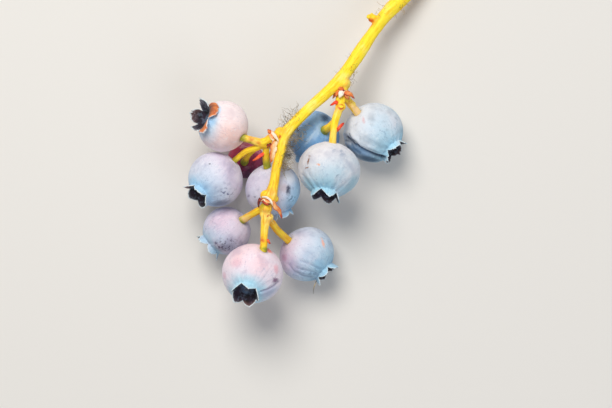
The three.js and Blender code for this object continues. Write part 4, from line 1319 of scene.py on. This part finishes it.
# where they grow: centre and reach in mm, how many, their lengths in mm and which way they drift
threadClumps = [
    ((-6.8, -0.6, 18.6), 2.6, 80, (3.0, 6.5), (0.5, -0.5, -0.55)),
    ((-8.6, -6.5, 19.6), 3.2, 170, (2.0, 5.0), (0.75, -0.15, -0.45)),
    ((-6.0, 2.8, 18.0), 2.4, 34, (2.5, 5.5), (-0.75, 0.5, -0.1)),
    ((9.3, 13.5, 13.0), 2.2, 16, (1.5, 3.2), (0.5, -0.6, -0.1)),
    ((20.5, 31.2, 6.4), 3.4, 14, (1.0, 2.6), (0.6, -0.5, 0.0)),
    ((16.5, 29.8, 7.8), 2.0, 10, (1.5, 3.0), (-0.3, 0.8, 0.1)),
    ((6.8, 16.4, 12.8), 4.0, 8, (0.8, 1.8), (-0.6, 0.6, 0.1)),
]
# the withered stamen threads that hang from two crowns: stations with their radius
witheredThreads = [
    [(-0.1, -37.6, 9.5, 0.12), (-0.5, -38.6, 9.8, 0.13), (-0.8, -39.6, 9.6, 0.1), (-0.9, -40.9, 9.2, 0.06)],
    [(-25.6, -23.9, 9.6, 0.06), (-26.5, -24.6, 9.8, 0.06), (-27.2, -25.6, 9.7, 0.04)],
]


def growThreads(shape, clumps, bark):
    # random walks from points of the bark, each turning a little at every station
    picker = np.random.default_rng(shape["seed"])
    places, normals = readSurface(bark)
    firstPull, pull = shape["drifting"]
    paths = []
    for centre, reach, count, lengths, drift in clumps:
        gap = np.linalg.norm(places - centre, axis=1)
        drift = unit(drift)
        near = np.flatnonzero((gap < reach) & (normals @ drift > -0.1))
        for start in picker.choice(near, count):
            way = unit(normals[start] + drift * firstPull + picker.normal(0, shape["spread"], 3))
            point = places[start] - normals[start] * shape["rooted"]
            left = picker.uniform(*lengths)
            path = [(*point, shape["radius"])]
            while left > 0:
                way = unit(way + picker.normal(0, shape["turning"], 3) + drift * pull)
                point = point + way * shape["stride"]
                left -= shape["stride"]
                path.append((*point, shape["radius"] * (0.55 + 0.45 * min(1, left))))
            if min(station[2] for station in path) > shape["clearance"]:
                paths.append(path)
    return paths


threads = makePaths("dry_threads", growThreads(threadShape, threadClumps, twigBark) + witheredThreads)
runNodes(threads, tubeTree, {
    "Sides": threadShape["sides"],
    "Step": threadShape["step"] * mm,
    "Material": plantHair("dry dead plant thread", "#B49C68", "#453A2A"),
})
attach(threads, "root")
print("threads grown:", len(threads.data.polygons), "faces")

# floor, light and colour

studio = dict(
    floor="#DEDCD8",
    floorReach=1.5,  # m from the middle to each side
    floorDepth=0.05,  # mm that it lies under the sprig
    world="#F4F6FA",
    worldStrength=0.34,
    aim=(-0.005, -0.01, 0.015),  # m, where the lamps point
    lamps=dict(
        key=dict(place=(-0.14, 0.36, 0.63), size=0.44, power=4.9, colour="#FFFBF4"),
        fill=dict(place=(0.3, -0.35, 0.5), size=0.5, power=0.9, colour="#F2F5FF"),
    ),
)


def makeStudio(look):
    mesh = bpy.data.meshes.new("floor")
    reach = look["floorReach"]
    corners = [(-reach, -reach, 0), (reach, -reach, 0), (reach, reach, 0), (-reach, reach, 0)]
    mesh.from_pydata(corners, [], [(0, 1, 2, 3)])
    floor = bpy.data.objects.new("floor", mesh)
    floor.location.z = -look["floorDepth"] * mm
    bpy.context.collection.objects.link(floor)
    matt = {"Base Color": linearColour(look["floor"]), "Roughness": 0.9}
    mesh.materials.append(endMaterial(startMaterial("plain pale floor, matt")[0], [], matt))
    world = bpy.data.worlds.new("soft studio")
    world.use_nodes = True
    glow = {"Color": linearColour(look["world"]), "Strength": look["worldStrength"]}
    setInputs(world.node_tree, world.node_tree.nodes["Background"], glow)
    bpy.context.scene.world = world
    for label, lamp in look["lamps"].items():
        light = bpy.data.lights.new(label, "AREA")
        light.shape = "DISK"
        light.size = lamp["size"]
        light.energy = lamp["power"]
        light.color = linearColour(lamp["colour"])[:3]
        holder = bpy.data.objects.new(label, light)
        holder.location = lamp["place"]
        towards = Vector(look["aim"]) - Vector(lamp["place"])
        holder.rotation_euler = towards.to_track_quat("-Z", "Y").to_euler()
        bpy.context.collection.objects.link(holder)
    bpy.context.scene.view_settings.view_transform = "Standard"


makeStudio(studio)
print("studio lit")
